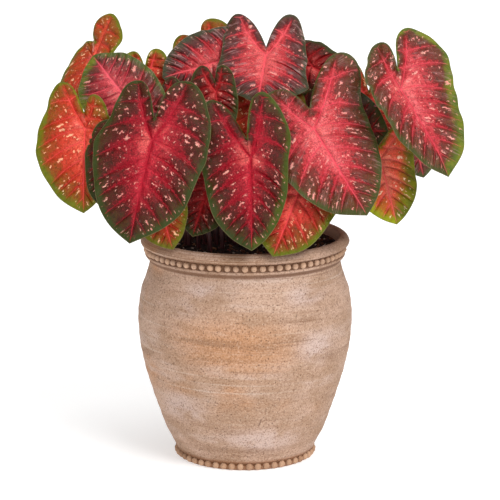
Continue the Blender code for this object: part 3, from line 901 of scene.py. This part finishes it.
        # How red each place is: most in the heart and on the flanks of ribs and laterals.
        wander = f.add(f.sway(patches, 0.75), f.sway(mottle, 0.70), f.sway(fine, 0.75))
        width = f.add(f.slide(close, 0.0, 0.9, 0.8, 0.45), f.sway(mottle, 0.35))
        flank = f.times(f.rise(apart, 0.0, width, 1.0, 0.0), f.rise(close, 1.05, 0.7),
                        f.slide(patches, 0.3, 0.7, 0.46, 0.22))
        rib_width = f.slide(close, 0.0, 1.0, 0.12 * length, 0.03 * length)
        rib_flank = f.times(f.rise(off, 0.0, rib_width, 1.0, 0.0), f.rise(close, 1.0, 0.8), 0.38)
        red = f.add(
            f.slide(close, 0.0, 1.0, 0.60 + tones.reach, -0.24 + tones.reach), f.slide(out, 0.1, 0.95, 0.22, -0.08),
            f.sum_up("MAXIMUM", flank, rib_flank), f.times(wander, f.slide(close, 0.0, 0.5, 0.7, 1.0)),
        )
        colour = f.coats(
            tones.margin,
            (tones.ground, f.rise(red, -0.12, 0.22)),
            (tones.dusk, f.rise(fine, 0.44, 0.56), f.slide(patches, 0.3, 0.7, 0.7, 0.2)),
            (tones.shadow, f.rise(mottle, 0.50, 0.60), 0.45),
            (tones.dusk, f.rise(red, 0.18, 0.42)),
            (tones.heart, f.rise(red, 0.36, 0.64)),
            (tones.vein, f.rise(red, 0.70, 1.10)),
            # Painted highlight: pale pink round the junction.
            (tones.glow, f.rise(out, 0.26, 0.03), f.rise(patches, 0.45, 0.60), f.rise(off, 1.0, 5.0), 0.70),
            (tones.groove, f.rise(fine, 0.52, 0.42), 0.45),
            (tones.glow, f.rise(fine, 0.56, 0.66), f.rise(red, -0.1, 0.5), 0.35),
            (tones.shadow, f.rise(grain, 0.52, 0.62), 0.55),
            (tones.shadow, f.rise(mottle, 0.47, 0.37), f.slide(red, 0.0, 0.9, 0.55, 0.25)),
        )

        # The band along the edge, and the thin line of each rib and lateral.
        lime = f.add(f.times(f.rise(across, -0.02, 0.02), leaf.lime[1] - leaf.lime[0]), leaf.lime[0])
        green = f.coats(tones.lime[0], (tones.lime[1], f.rise(patches, 0.4, 0.6)))
        band = f.times(f.add(lime, 1.0), f.slide(along, -0.2, 0.3, 0.6 * tones.band, 1.2 * tones.band))
        banded = f.rise(f.add(edge, f.sway(patches, 12.0), f.sway(mottle, 5.0)),
                        f.times(band, 0.5), f.times(band, 1.7), 1.0, 0.0)
        thin = f.times(apart, 0.4 * VEIN_STEP * length)
        line = f.rise(thin, 0.1, f.slide(close, 0.0, 1.0, 0.9, 0.4), 1.0, 0.0)
        rib_line = f.rise(off, 0.3, f.slide(close, 0.0, 1.0, 2.4, 0.6), 1.0, 0.0)
        lines = f.sum_up("MAXIMUM", line, rib_line)
        line_colour = f.coats(tones.thread, (tones.vein, f.rise(close, 0.3, 0.85)))

        # Flecks between the laterals, pale streaks of painted sheen along them, and the underside.
        ragged = f.add(mottle, f.sway(fine, 0.45))
        fleck = f.sum_up("MAXIMUM", f.flecks(streak, ragged, 0.17, 0.34, 0.28, 0.62 * tones.flecks),
                         f.flecks(streak, ragged, 0.30, 0.50, 0.25, 0.62 * tones.flecks))
        free = f.times(f.rise(apart, 0.10, 0.35), f.rise(off, 2.5, 6.0), f.rise(edge, 2.0, 6.0),
                       f.rise(red, 1.2, 0.8))
        pale = f.coats(tones.fleck, (f.coats(tones.fleck, (tones.vein, 0.5)), f.rise(mottle, 0.42, 0.58)))
        # Painted sheen: pale grey streaks along the laterals stand in for the gloss of the upper face.
        streaky = f.cloud(f.placed(streak, (0.55, 0.07, 1.0)), 1.0, 3, 0.6)
        painted_sheen = f.times(f.rise(streaky, 0.50, 0.66), f.rise(apart, 0.15, 0.5), f.rise(off, 1.0, 8.0),
                          f.rise(patches, 0.35, 0.55))
        netted = f.times(f.rise(net, 0.02, 0.18, 1.0, 0.0), 0.25)
        green_back, pink_back, dusky_back, vein_back = tones.back
        back = f.coats(
            green_back,
            (pink_back, f.rise(red, -0.1, 0.6)),
            (dusky_back, f.rise(mottle, 0.4, 0.6), 0.35),
            (vein_back, f.sum_up("MAXIMUM", lines, netted), 0.8),
        )
        colour = f.coats(
            colour,
            (f.coats(tones.margin, (green, lime)), banded, 0.85),
            (line_colour, lines, f.rise(edge, 1.0, 6.0), f.slide(close, 0.4, 1.0, 0.7, 0.4)),
            (pale, fleck, free, 0.85),
            (tones.hem, f.rise(edge, 0.35, 1.0, 0.45, 0.0)),
            # Painted sheen: the pale streaks along the laterals.
            (tones.painted_sheen_tone, painted_sheen, tones.bloom),
            (back, under, 0.85),
        )

        quilt = f.times(f.rise(apart, 0.0, 0.55), f.rise(off, 0.0, 6.0), f.slide(edge, 2.0, 12.0, 0.3, 1.0))
        height = f.add(f.times(lines, -0.4), f.times(net, 0.5), f.times(fine, 0.5), f.times(mottle, 1.1),
                       f.times(quilt, 1.5))
        return f.done(colour, f.slide(fine, 0.3, 0.7, 0.30, 0.44), f.relief(height, 0.0014), tones.gloss)

    def build(self) -> bpy.types.Object:
        """Makes the blade in place of its solid."""
        return self.skin().stand_in("blade_" + self.leaf.name, self.finish())


# --------------------------------------------------------------------------- stalks


@dataclass
class Stalk:
    """One stalk: a tapering tube from its hole in the soil to the back of its blade.

    Attributes:
        leaf: The leaf that it belongs to.
        seed: A number of its own.
        foot_radius: Radius at the soil.
        top_radius: Radius below the blade.
        lean: How far its arrival leans along the straight way from the soil.
        rise: Pull straight up at the foot, as a share of the way.
        reach: Pull back from the blade, as a share of the way.
        bend: The longest that this pull may be.
        depth: How deep its foot stands in its hole.
        stations: How many rings it has above the soil.
        sides: How many points a ring has.
    """

    leaf: Leaf
    seed: int
    foot_radius: float = 3.2
    top_radius: float = 1.9
    lean: float = 0.5
    rise: float = 0.62
    reach: float = 0.3
    bend: float = 45.0
    depth: float = 25.7
    stations: int = 44
    sides: int = 16

    def out(self) -> Array:
        """The way out of the upper face where the stalk meets the blade, which the arch tips back."""
        _, _, forward, _, normal = Blade(self.leaf).frame()
        return unit(normal - self.leaf.arch * forward)

    def path(self) -> tuple[Array, Array]:
        """The middle line of the stalk and its radius at each point.

        The line stands upright in its hole and then follows the cubic between the soil and the
        blade, pulled straight up at the foot and along the blade's way in at the top.

        Returns:
            The points and the radii.
        """
        junction = np.array(self.leaf.junction, float)
        root = np.array([*self.leaf.root, float(soil_height(*np.array(self.leaf.root, float)))])
        start = root + (0, 0, 4)
        out = self.out()
        arrival = unit(out + self.lean * unit(junction - start))
        end = junction - out * (BLADE_THICKNESS * 0.3 + RIB_DEPTH * Blade(self.leaf).frame()[1])
        span = float(np.linalg.norm(end - start))
        pull_up = start + (0, 0, self.rise * span)
        pull_back = end - arrival * min(self.reach * span, self.bend)
        t = np.linspace(0, 1, self.stations)[:, None]
        curve = (1 - t) ** 3 * start + 3 * t * (1 - t) ** 2 * pull_up + 3 * t**2 * (1 - t) * pull_back + t**3 * end
        line = np.concatenate([[root - (0, 0, self.depth)], curve])
        share = t[:, 0]
        width = self.foot_radius + (self.top_radius - self.foot_radius) * share
        width = width * (1 + 0.04 * np.sin(7 * share + self.seed)) + 0.9 * ease(share, 0.97, 1.0)
        return line, np.append(width[0], width)

    def skin(self) -> Skin:
        """The tube: a ring round each point of the line, the last ones turned to lie flat on the blade.

        Returns:
            The skin, marked with the share of the way up, and with the distance, each beside the
            place round the stalk.
        """
        line, radius = self.path()
        flat = ease(np.linspace(0, 1, len(line)), 0.93, 1.0)[:, None]
        way = unit((1 - flat) * unit(np.gradient(line, axis=0)) + flat * self.out())
        side = unit(np.cross(way, (0.3, 1.0, 0.1)))
        other = np.cross(way, side)
        angle = -circle(self.sides)
        ribbed = 1 + 0.02 * np.cos(5 * angle + self.seed)
        round_way = np.cos(angle)[None, :, None] * side[:, None] + np.sin(angle)[None, :, None] * other[:, None]
        rings = line[:, None] + (radius[:, None] * ribbed)[..., None] * round_way
        walked = run_length(line)
        across, over = radius.mean() * np.cos(angle), radius.mean() * np.sin(angle)
        share = ring_points(np.zeros(3), triples(walked[:, None] / walked[-1], across, over), (1, 0, 0))
        flat_place = ring_points(np.zeros(3), triples(walked[:, None], across, over + 30 * self.seed),
                                 (walked[-1], 0, 0))
        return Skin(ring_points(line[0], rings, line[-1]), *ring_faces(len(rings), self.sides),
                    {"stalk_share": share, "stalk_flat": flat_place})

    def build(self, material: bpy.types.Material) -> bpy.types.Object:
        """Makes the stalk in place of its solid."""
        return self.skin().stand_in("stalk_" + self.leaf.name, material)


@dataclass(frozen=True)
class StalkTones:
    """The colours of the stalks: their dark and light streaks, the redder top and the spots."""

    dark: Colour = tone(48, 22, 26)
    light: Colour = tone(92, 42, 44)
    top: Colour = tone(150, 66, 66)
    spots: Colour = tone(40, 30, 24)

    def finish(self) -> bpy.types.Material:
        """Dark purple-brown stalks, streaked lengthwise and redder towards the blade.

        Returns:
            The material.
        """
        f = Finish("stalk_skin")
        share, _, _ = f.parts(f.mark("stalk_share"))
        flat = f.mark("stalk_flat")
        streaks = f.cloud(f.placed(flat, (0.06, 1.0, 1.0)), 1.0, 3, 0.6)
        spots = f.cloud(flat, 0.5, 3, 0.7)
        colour = f.coats(
            self.dark,
            (self.light, f.rise(streaks, 0.35, 0.65)),
            (self.top, f.rise(share, 0.55, 1.0), 0.6),
            (self.spots, f.rise(spots, 0.58, 0.7), 0.4),
        )
        relief = f.relief(f.add(streaks, f.times(spots, 0.4)), 0.0004)
        return f.done(colour, f.slide(streaks, 0.3, 0.7, 0.30, 0.42), relief)


# --------------------------------------------------------------------------- soil


HOLLOW = (  # radius and height of the inside of the pot up to the soil, which both the pot and the soil follow
    (84.0, 16.0), (93.0, 25.0), (113.0, 91.0), (128.0, 150.0), (131.5, 195.0), (127.0, 232.0), (116.5, 260.0),
    (118.0, 272.0),
)
SOIL_LEVEL = 290.0
SOIL_EDGE = 123.5
SOIL_CLEARANCE = 0.4


def soil_height(x: Array, y: Array) -> Array:
    """Height of the soil: a low mound with slow lumps that die away at the wall of the pot."""
    reach = np.minimum(np.hypot(x, y) / SOIL_EDGE, 1)
    lumps = np.sin(0.11 * x + 0.7) * np.cos(0.09 * y) + 0.6 * np.sin(0.19 * y - 0.13 * x)
    return SOIL_LEVEL + 3.0 * (1 - reach**2) + 1.6 * lumps * (1 - reach**4)


@dataclass(frozen=True)
class SoilTones:
    """The colours of the soil and of what lies on it."""

    deep: Colour = tone(14, 8, 7)
    lump: Colour = tone(52, 34, 28)
    fibre: Colour = tone(96, 66, 48)
    crumb: Colour = tone(58, 38, 30)
    bark: tuple[Colour, Colour] = (tone(74, 44, 30), tone(122, 80, 52))
    perlite: tuple[Colour, Colour] = (tone(190, 176, 160), tone(226, 218, 206))
    red_dust: Colour = tone(120, 52, 44)


@dataclass
class Soil:
    """The potting soil: a lumpy surface with crumbs, chips of bark and grains of perlite on it.

    Attributes:
        rings: How many rings its top has.
        columns: How many points a ring has.
        crumbs: How many crumbs are strewn, before those that would lie on a stalk are left out.
        crumb_rings: How many rings a crumb has.
        crumb_sides: How many points a crumb's ring has.
        shares: How many of the crumbs are soil, bark, perlite and red dust, as shares.
        sizes: Size of each of these kinds beside that of soil.
        clear: How far the crumbs keep off the middle of a stalk.
        sunk: How far the middle of a crumb lies above the soil, as a share of its size.
        seed: What the dice start from.
        tones: The colours.
    """

    rings: int = 74
    columns: int = 180
    crumbs: int = 1500
    crumb_rings: int = 3
    crumb_sides: int = 7
    shares: tuple[float, ...] = (0.70, 0.14, 0.11, 0.05)
    sizes: tuple[float, ...] = (1.0, 1.5, 0.85, 0.8)
    clear: float = 6.0
    sunk: float = 0.35
    seed: int = 11
    tones: SoilTones = SoilTones()

    def bed(self) -> Skin:
        """The body of soil: rings out over the top, down the wall of the pot and in under the bottom.

        Returns:
            The skin, whose mark is nothing all over.
        """
        angle = circle(self.columns)
        radius = np.linspace(1 / self.rings, 1, self.rings)[:, None] * SOIL_EDGE
        x, y = radius * np.cos(angle), radius * np.sin(angle)
        rough = (
            0.5 * np.sin(0.9 * x + 1.3 * np.sin(0.31 * y)) * np.cos(0.8 * y + 1.1 * np.sin(0.27 * x))
            + 0.35 * np.sin(1.7 * x - 0.6 * y) * np.sin(1.5 * y + 0.4 * x)
        )
        z = soil_height(x, y) + 1.1 * rough * (1 - (radius / SOIL_EDGE) ** 8)
        wall = np.array(HOLLOW[::-1])
        lower = lathed(wall[:, :1] - SOIL_CLEARANCE, wall[:, 1:] + SOIL_CLEARANCE, angle)
        rings = np.concatenate([triples(x, y, z), lower])
        points = ring_points((0, 0, z[0].mean()), rings, (0, 0, HOLLOW[0][1] + SOIL_CLEARANCE))
        return Skin(points, *ring_faces(len(rings), self.columns), {"soil_kind": np.zeros_like(points)})

    def loose(self) -> Skin:
        """Crumbs: each is a lumpy ball, squeezed, turned and half sunk, and none lies on a stalk.

        Returns:
            The skin, marked with the crumb's kind (soil, bark, perlite or dust), its tint, and one.
        """
        dice = np.random.default_rng(self.seed)
        count = self.crumbs
        reach = SOIL_EDGE * np.sqrt(dice.uniform(0, 0.94, count))
        turn = dice.uniform(0, 2 * np.pi, count)
        middle = np.stack([reach * np.cos(turn), reach * np.sin(turn)], axis=1)
        roots = np.array([leaf.root for leaf in LEAVES])
        free = np.linalg.norm(middle[:, None] - roots, axis=-1).min(axis=1) > self.clear
        middle, count = middle[free], int(free.sum())
        kind = dice.choice(4, count, p=self.shares)
        size = np.choose(kind, self.sizes) * dice.uniform(0.9, 2.6, count)
        shape = ball(self.crumb_rings, self.crumb_sides)
        lumpy = shape * dice.uniform(0.72, 1.15, (count, len(shape), 1))
        ranges = ((0.8, 1.7), (0.6, 1.1), (0.4, 0.9))
        squeeze = np.stack([dice.uniform(*ends, count) for ends in ranges], axis=1)
        lumpy = lumpy * (squeeze * size[:, None])[:, None]
        yaw, tip = dice.uniform(0, 2 * np.pi, (count, 1)), dice.uniform(-0.6, 0.6, (count, 1))
        x, z = rotated(lumpy[..., 0], lumpy[..., 2], tip)
        x, y = rotated(x, lumpy[..., 1], yaw)
        ground = soil_height(middle[:, 0], middle[:, 1]) + self.sunk * size
        points = triples(x + middle[:, :1], y + middle[:, 1:], z + ground[:, None])
        marks = triples(kind[:, None], dice.uniform(0, 1, (count, 1)), np.ones(len(shape)))
        return many(points, self.crumb_rings, self.crumb_sides, "soil_kind", marks)

    def finish(self) -> bpy.types.Material:
        """Near-black damp soil with brown fibre, and crumbs of soil, bark, perlite and red dust.

        Returns:
            The material.
        """
        tones = self.tones
        f = Finish("potting_soil")
        kind, tint, loose = f.parts(f.mark("soil_kind"))
        spot = f.spot()
        lumps = f.cloud(spot, 260.0, 4, 0.65)
        fibre = f.cloud(f.placed(spot, (1.0, 0.25, 1.0)), 900.0, 2, 0.6, 1.2)
        colour = f.coats(
            tones.deep,
            (tones.lump, f.rise(lumps, 0.35, 0.68)),
            (tones.fibre, f.rise(fibre, 0.62, 0.74), 0.55),
            (tones.crumb, loose, f.slide(tint, 0.0, 1.0, 0.1, 0.6)),
            (f.coats(tones.bark[0], (tones.bark[1], tint)), f.rise(kind, 0.9, 1.0)),
            (f.coats(tones.perlite[0], (tones.perlite[1], lumps)), f.rise(kind, 1.9, 2.0)),
            (tones.red_dust, f.rise(kind, 2.9, 3.0)),
        )
        relief = f.relief(f.add(lumps, f.times(fibre, 0.5)), 0.0022)
        return f.done(colour, f.slide(lumps, 0.3, 0.7, 0.75, 0.98), relief, 0.3)

    def build(self) -> bpy.types.Object:
        """Makes the soil in place of its solid."""
        return self.bed().joined(self.loose()).stand_in("soil", self.finish())


# --------------------------------------------------------------------------- pot


BODY_TOP = 262.0  # where the throwing rings end, below the fillet
FILLET_FOOT = 273.5  # the middle of the groove under the fillet, where shade is painted
FOOT_TOP = 10.5  # shade is painted on the foot below this
RECESS_RADIUS = 134.0  # shade is painted on the wall behind the upper beads inside this radius
FLOOR_RADIUS = 86.0  # inside this radius, on the floors of the pot, the wall's wobble stops


@dataclass(frozen=True)
class BeadRow:
    """A ring of beads: how many, the ring's radius and height, each bead's half sizes, and a seed."""

    count: int
    ring: Pair
    size: Spot
    seed: int


@dataclass(frozen=True)
class ClayTones:
    """The colours of the weathered clay and its stains, with the painted shade of its recesses and the painted light
    of its inner wall.
    """

    dull: Colour = tone(174, 140, 115)
    pink: Colour = tone(196, 163, 142)
    warm: Colour = tone(192, 137, 94)
    bloom: Colour = tone(204, 180, 168)
    pale: Colour = tone(206, 184, 178)
    dark_band: Colour = tone(140, 106, 82)
    light_hair: Colour = tone(220, 200, 186)
    dark_hair: Colour = tone(120, 88, 66)
    light_sand: Colour = tone(216, 190, 170)
    dark_sand: Colour = tone(122, 86, 62)
    dust: Colour = tone(112, 78, 56)
    speck: Colour = tone(78, 52, 36)
    # Painted light: the lighter inner wall.
    inner: Colour = tone(232, 204, 182)
    rim: Colour = tone(126, 84, 50)
    foot: Colour = tone(134, 88, 54)
    bead: Colour = tone(206, 168, 138)
    # The painted shade of the recesses.
    recess_shade: Colour = tone(92, 52, 22)
    scratch: Colour = tone(110, 78, 60)


@dataclass
class Pot:
    """The clay pot: one turned wall, inside and out, with a row of beads under the rim and one round the foot.

    Attributes:
        sides: How many points each ring of the wall has.
        runs: The profile from the inside floor to the foot, radius and height, in smooth runs that
            meet at sharp lines (inside, rim, recess, fillet, body and foot), each with its count of points.
        pale: Middle and reach of each pale stain, in metres.
        rows: The two rows of beads.
        tones: The colours of the clay.
    """

    sides: int = 220
    runs: tuple[tuple[int, tuple[Pair, ...]], ...] = (
        (60, (*HOLLOW, (124.6, 288.0), (126.2, 300.4))),
        (34, ((126.2, 300.4), (127.8, 303.0), (131.0, 304.2), (135.8, 302.4), (139.0, 298.6), (140.0, 295.0),
              (138.5, 291.9), (134.6, 290.0), (132.0, 289.0))),
        (6, ((132.0, 289.0), (131.4, 284.6), (132.0, 280.2))),
        (16, ((132.0, 280.2), (133.6, 279.4), (134.2, 277.8), (132.9, 275.6), (130.2, 272.8), (128.4, 269.2),
              (128.4, 265.0))),
        (120, ((128.4, 265.0), (132.0, 252.0), (139.4, 230.0), (143.3, 206.0), (144.0, 192.0), (141.9, 160.0),
               (138.0, 137.0), (132.2, 114.0), (125.2, 91.0), (117.6, 68.5), (109.4, 45.0), (99.6, 24.0),
               (94.4, 14.2))),
        (12, ((94.4, 14.2), (94.0, 11.2), (92.2, 9.6), (91.6, 5.0), (91.4, 1.2), (90.4, 0.0))),
    )
    pale: tuple[tuple[Spot, Spot], ...] = (
        ((-0.050, -0.12, 0.250), (0.048, 0.08, 0.016)), ((0.075, -0.11, 0.245), (0.040, 0.08, 0.020)),
        ((0.090, -0.10, 0.175), (0.045, 0.08, 0.035)), ((-0.085, -0.10, 0.085), (0.045, 0.08, 0.030)),
        ((-0.085, -0.10, 0.225), (0.030, 0.08, 0.020)), ((0.02, -0.10, 0.045), (0.08, 0.08, 0.025)),
        ((0.05, 0.13, 0.200), (0.08, 0.08, 0.030)), ((-0.09, 0.10, 0.120), (0.06, 0.08, 0.030)),
    )
    rows: tuple[BeadRow, BeadRow] = (
        BeadRow(72, (131.2, 284.6), (5.5, 4.4, 4.6), 3),
        BeadRow(50, (91.0, 5.2), (5.3, 4.8, 4.8), 5),
    )
    tones: ClayTones = ClayTones()

    def wall(self) -> Skin:
        """The turned wall: the profile from the middle of the inside floor, over the rim, to under the foot.

        The radius swells and dips by up to a third of a millimetre in soft rings, tilted by a
        slow wave round the pot, as a hand leaves them on the wheel.

        Returns:
            The skin, marked with how much painted shade each point takes in the recesses behind the beads, under the
            fillet and at the foot.
        """
        floor, under = [(28, 16.0), (60, 16.0)], [(84, 0.0), (45, 0.0)]
        smooth = [smooth_run(np.array(points), count)[min(i, 1):] for i, (count, points) in enumerate(self.runs)]
        line = np.concatenate([floor, *smooth, under])
        radius, z = line[:, :1], line[:, 1:]
        angle = circle(self.sides)
        outside = (np.arange(len(line))[:, None] > len(floor) + self.runs[0][0]) & (z > 6)
        level = z + 1.6 * np.cos(angle - 0.6)
        throwing = (
            0.20 * np.sin(level / 2.6 + 0.8 * np.sin(level / 11))
            + 0.16 * np.sin(level / 6.1 + 1.2) + 0.06 * np.sin(level / 1.1)
        )
        turned = np.where(outside, throwing * ease(BODY_TOP - z, -6, 8) * ease(z, 12, 20), 0)
        wobble = 0.35 * np.cos(2 * angle + 0.4) + 0.15 * np.cos(3 * angle + z / 40)
        wide = radius + turned + wobble * ease(z, 0, 40) * (radius > FLOOR_RADIUS)
        bead_level = self.rows[0].ring[1]
        # Painted shade: darker behind the upper beads, under the fillet and at the foot.
        behind_beads = ease(RECESS_RADIUS - radius, 0, 2.2) * ease(8.5 - np.abs(z - bead_level), 0, 2.5)
        below_fillet = ease(4.5 - np.abs(z - FILLET_FOOT), 0, 3) * 0.9
        hidden = np.where(outside, behind_beads + below_fillet + ease(FOOT_TOP - z, 0, 3), 0)
        marks = ring_points(np.zeros(3), triples(0.85 * np.clip(hidden, 0, 1), np.zeros_like(wide), 0.0), np.zeros(3))
        points = ring_points((0, 0, floor[0][1]), lathed(wide, z, angle), (0, 0, 0.0))
        return Skin(points, *ring_faces(len(line), self.sides), {"clay_painted_shade": marks})

    def beads(self, row: BeadRow) -> Skin:
        """A row of beads: each a ball, set in the ring and pressed unevenly.

        Args:
            row: The row.

        Returns:
            The skin, marked with the painted shade on the side of each bead towards the wall, one, and a number for
            each bead.
        """
        dice = np.random.default_rng(row.seed)
        rings, around = 5, 12
        size = np.array(row.size) * dice.uniform(0.94, 1.05, (row.count, 3))
        own = ball(rings, around)[None] * size[:, None]
        turn = 2 * np.pi * (np.arange(row.count) + dice.uniform(-0.05, 0.05, row.count)) / row.count
        x, y = rotated(row.ring[0] + own[..., 0], own[..., 1], turn[:, None])
        z = np.maximum(row.ring[1] + own[..., 2] + dice.uniform(-0.25, 0.25, (row.count, 1)), 0.05)
        # Painted shade on the side of each bead towards the wall.
        depth = ease(0.35 - own[..., 0] / size[:, :1], 0, 0.6) * 0.9
        marks = triples(depth, 1.0, dice.uniform(0, 1, (row.count, 1)))
        return many(triples(x, y, z), rings, around, "clay_painted_shade", marks)

    def finish(self) -> bpy.types.Material:
        """Weathered clay: pinkish body, orange patches, pale bloom in bands, grain, specks, painted shade in the
        recesses and painted light on the inner wall.

        Returns:
            The material.
        """
        tones = self.tones
        f = Finish("weathered_clay")
        spot = f.spot()
        recess, bead, own = f.parts(f.mark("clay_painted_shade"))
        x, y, up = f.parts(spot)
        leaning = f.placed(spot, turn=(0.012, -0.02, 0.0))
        patch = f.cloud(f.placed(spot, (1.0, 1.0, 2.0)), 14.0, 4, 0.6, 0.4)
        wide = f.cloud(f.placed(spot, (1.0, 1.0, 1.6), (3.1, 0.0, 0.4)), 8.0, 3, 0.6)
        bands = f.cloud(f.placed(leaning, (5.0, 5.0, 46.0)), 1.0, 4, 0.55)
        hair = f.cloud(f.placed(leaning, (2.2, 2.2, 230.0)), 1.0, 2, 0.5)
        turned = f.cloud(f.placed(spot, (1.0, 1.0, 700.0)), 1.0, 1, 0.5)
        sand = f.cloud(spot, 430.0, 3, 0.75)
        dust = f.cloud(spot, 1000.0, 2, 0.7)
        pits = f.cells(spot, 330.0, flat=False)
        pitted = f.sum_up("LESS_THAN", f.parts(pits.outputs["Color"])[0], 0.22)
        specks = f.times(f.rise(pits.outputs["Distance"], 0.30, 0.16), pitted)
        warm = f.times(f.stain(leaning, (-0.020, -0.14, 0.178), (0.125, 0.15, 0.060)), f.rise(patch, 0.25, 0.5))
        warm = f.sum_up("MAXIMUM", warm, f.times(f.rise(wide, 0.55, 0.72), f.rise(up, 0.06, 0.14)))
        faded = f.rise(wide, 0.36, 0.56)
        rim = f.times(f.rise(up, 0.2885, 0.2905), f.rise(up, 0.3060, 0.3025), f.rise(x, 0.03, 0.11, 1.0, 0.25))
        # Painted light: the inner wall near the top is lightened.
        inner = f.times(f.rise(f.far(x, y), 0.1275, 0.1262), f.rise(up, 0.20, 0.24))
        along_scratch = f.placed(f.placed(spot, shift=(-0.0195, 0.115, -0.0725)), turn=(0.0, -0.32, 0.0))
        scratch = f.stain(along_scratch, (0.0, 0.0, 0.0), (0.0012, 0.05, 0.0075))

        colour = f.coats(
            tones.dull,
            (tones.pink, f.rise(patch, 0.35, 0.65)),
            (tones.warm, warm, 0.8),
            (tones.bloom, f.rise(f.add(bands, f.sway(wide, -0.5)), 0.50, 0.68), f.rise(patch, 0.3, 0.6), 0.55),
            *((tones.pale, f.stain(leaning, *place), f.rise(patch, 0.30, 0.62), 0.62) for place in self.pale),
            (tones.dark_band, f.rise(bands, 0.46, 0.30), 0.60),
            (tones.light_hair, f.rise(hair, 0.60, 0.74), faded, 0.40),
            (tones.dark_hair, f.rise(hair, 0.36, 0.28), faded, 0.50),
            (tones.light_sand, f.rise(sand, 0.52, 0.68), 0.5),
            (tones.dark_sand, f.rise(sand, 0.49, 0.36), 0.65),
            (tones.dust, f.rise(dust, 0.46, 0.32), 0.45),
            (tones.speck, specks, 0.65),
            (tones.inner, inner, 0.6),
            (tones.rim, rim, f.rise(turned, 0.35, 0.6), f.slide(patch, 0.3, 0.7, 0.8, 0.30)),
            (tones.foot, f.rise(up, 0.016, 0.010), 0.8),
            (tones.bead, bead, f.slide(own, 0.0, 1.0, 0.35, 0.8)),
            # Painted shade in the recesses behind the beads, under the fillet and at the foot.
            (tones.recess_shade, recess, f.slide(patch, 0.3, 0.7, 0.8, 1.0)),
            (tones.scratch, scratch, 0.7),
        )
        height = f.add(f.times(sand, 0.7), f.times(hair, 0.5), f.times(bands, 0.4), f.times(turned, rim, 0.7),
                       f.times(specks, -0.6), f.times(scratch, -0.8))
        return f.done(colour, f.slide(sand, 0.3, 0.7, 0.78, 0.95), f.relief(height, 0.0012), 0.3)

    def build(self) -> bpy.types.Object:
        """Makes the pot in place of its solid."""
        skin = self.wall().joined(self.beads(self.rows[0])).joined(self.beads(self.rows[1]))
        return skin.stand_in("pot", self.finish())


# --------------------------------------------------------------------------- studio


@dataclass
class Studio:
    """A plain white floor, soft light from above and both sides, and the camera at the photograph's angle.

    Attributes:
        eye: Where the camera stands, in metres.
        aim: What it looks at.
        lens: Its focal length in millimetres.
        lamps: Name, side that it shines from, width in the sky in degrees, and strength of each light.
        half_floor: Half the width of the floor.
    """

    eye: Spot = (0.0067, -3.352, 1.021)
    aim: Spot = (0.0067, 0.0, 0.281)
    lens: float = 183.7
    lamps: tuple[tuple[str, Spot, float, float], ...] = (
        ("key", (1.5, -2.0, 3.0), 30, 2.2),
        ("front_fill", (0.4, -3.2, 0.9), 50, 0.45),
        ("left_fill", (-2.4, -2.6, 1.9), 60, 0.45),
        ("overhead", (0.1, 0.35, 3.4), 40, 1.2),
    )
    half_floor: float = 12.0

    def stood(self, thing: bpy.types.Object, at: Spot, towards: Spot) -> None:
        """Stands a lamp or camera at one place and points it to another."""
        thing.location = at
        thing.rotation_euler = (Vector(towards) - Vector(at)).to_track_quat("-Z", "Y").to_euler()
        bpy.context.scene.collection.objects.link(thing)

    def floor(self) -> None:
        """A pale sheet just under the foot of the pot, bright enough to stay white."""
        wide, level = self.half_floor, -0.0004
        mesh = bpy.data.meshes.new("floor")
        corners = [(-wide, -wide, level), (wide, -wide, level), (wide, wide, level), (-wide, wide, level)]
        mesh.from_pydata(corners, [], [(0, 1, 2, 3)])
        floor = bpy.data.objects.new("floor", mesh)
        bpy.context.scene.collection.objects.link(floor)
        f = Finish("floor_paper")
        f.surface.inputs["Emission Color"].default_value = (1, 1, 1, 1)
        f.surface.inputs["Emission Strength"].default_value = 0.52
        mesh.materials.append(f.done((0.68, 0.68, 0.68, 1), 0.9, f.relief(f.cloud(f.spot(), 40.0), 0.0001)))

    def build(self) -> None:
        """Sets up the floor, the world, the lights and the camera."""
        scene = bpy.context.scene
        scene.view_settings.view_transform = "Standard"
        self.floor()
        world = bpy.data.worlds.new("white_studio")
        scene.world = world
        world.use_nodes = True
        world.node_tree.nodes["Background"].inputs["Color"].default_value = (1.0, 1.0, 1.0, 1)
        world.node_tree.nodes["Background"].inputs["Strength"].default_value = 0.24
        for name, at, width, strength in self.lamps:
            light = bpy.data.lights.new(name, "SUN")
            light.angle, light.energy = math.radians(width), strength
            self.stood(bpy.data.objects.new(name, light), at, (0.0, 0.0, 0.3))
        camera = bpy.data.cameras.new("view")
        camera.lens, camera.sensor_width = self.lens, 36.0
        camera.clip_end = 60.0
        eye = bpy.data.objects.new("view", camera)
        self.stood(eye, self.eye, self.aim)
        scene.camera = eye


def report(piece: bpy.types.Object) -> None:
    """Logs a piece and how many faces it has."""
    LOG.info("%s: %d faces", piece.name, len(piece.data.polygons))


def main() -> None:
    """Builds the studio, the pot, the soil and every leaf."""
    logging.basicConfig(level=logging.INFO, format="%(message)s")
    Studio().build()
    for thing in (Pot(), Soil()):
        report(thing.build())
    stalk_skin = StalkTones().finish()
    for seed, leaf in enumerate(LEAVES):
        report(Blade(leaf, seed).build())
        report(Stalk(leaf, seed).build(stalk_skin))


if __name__ == "__main__":
    main()
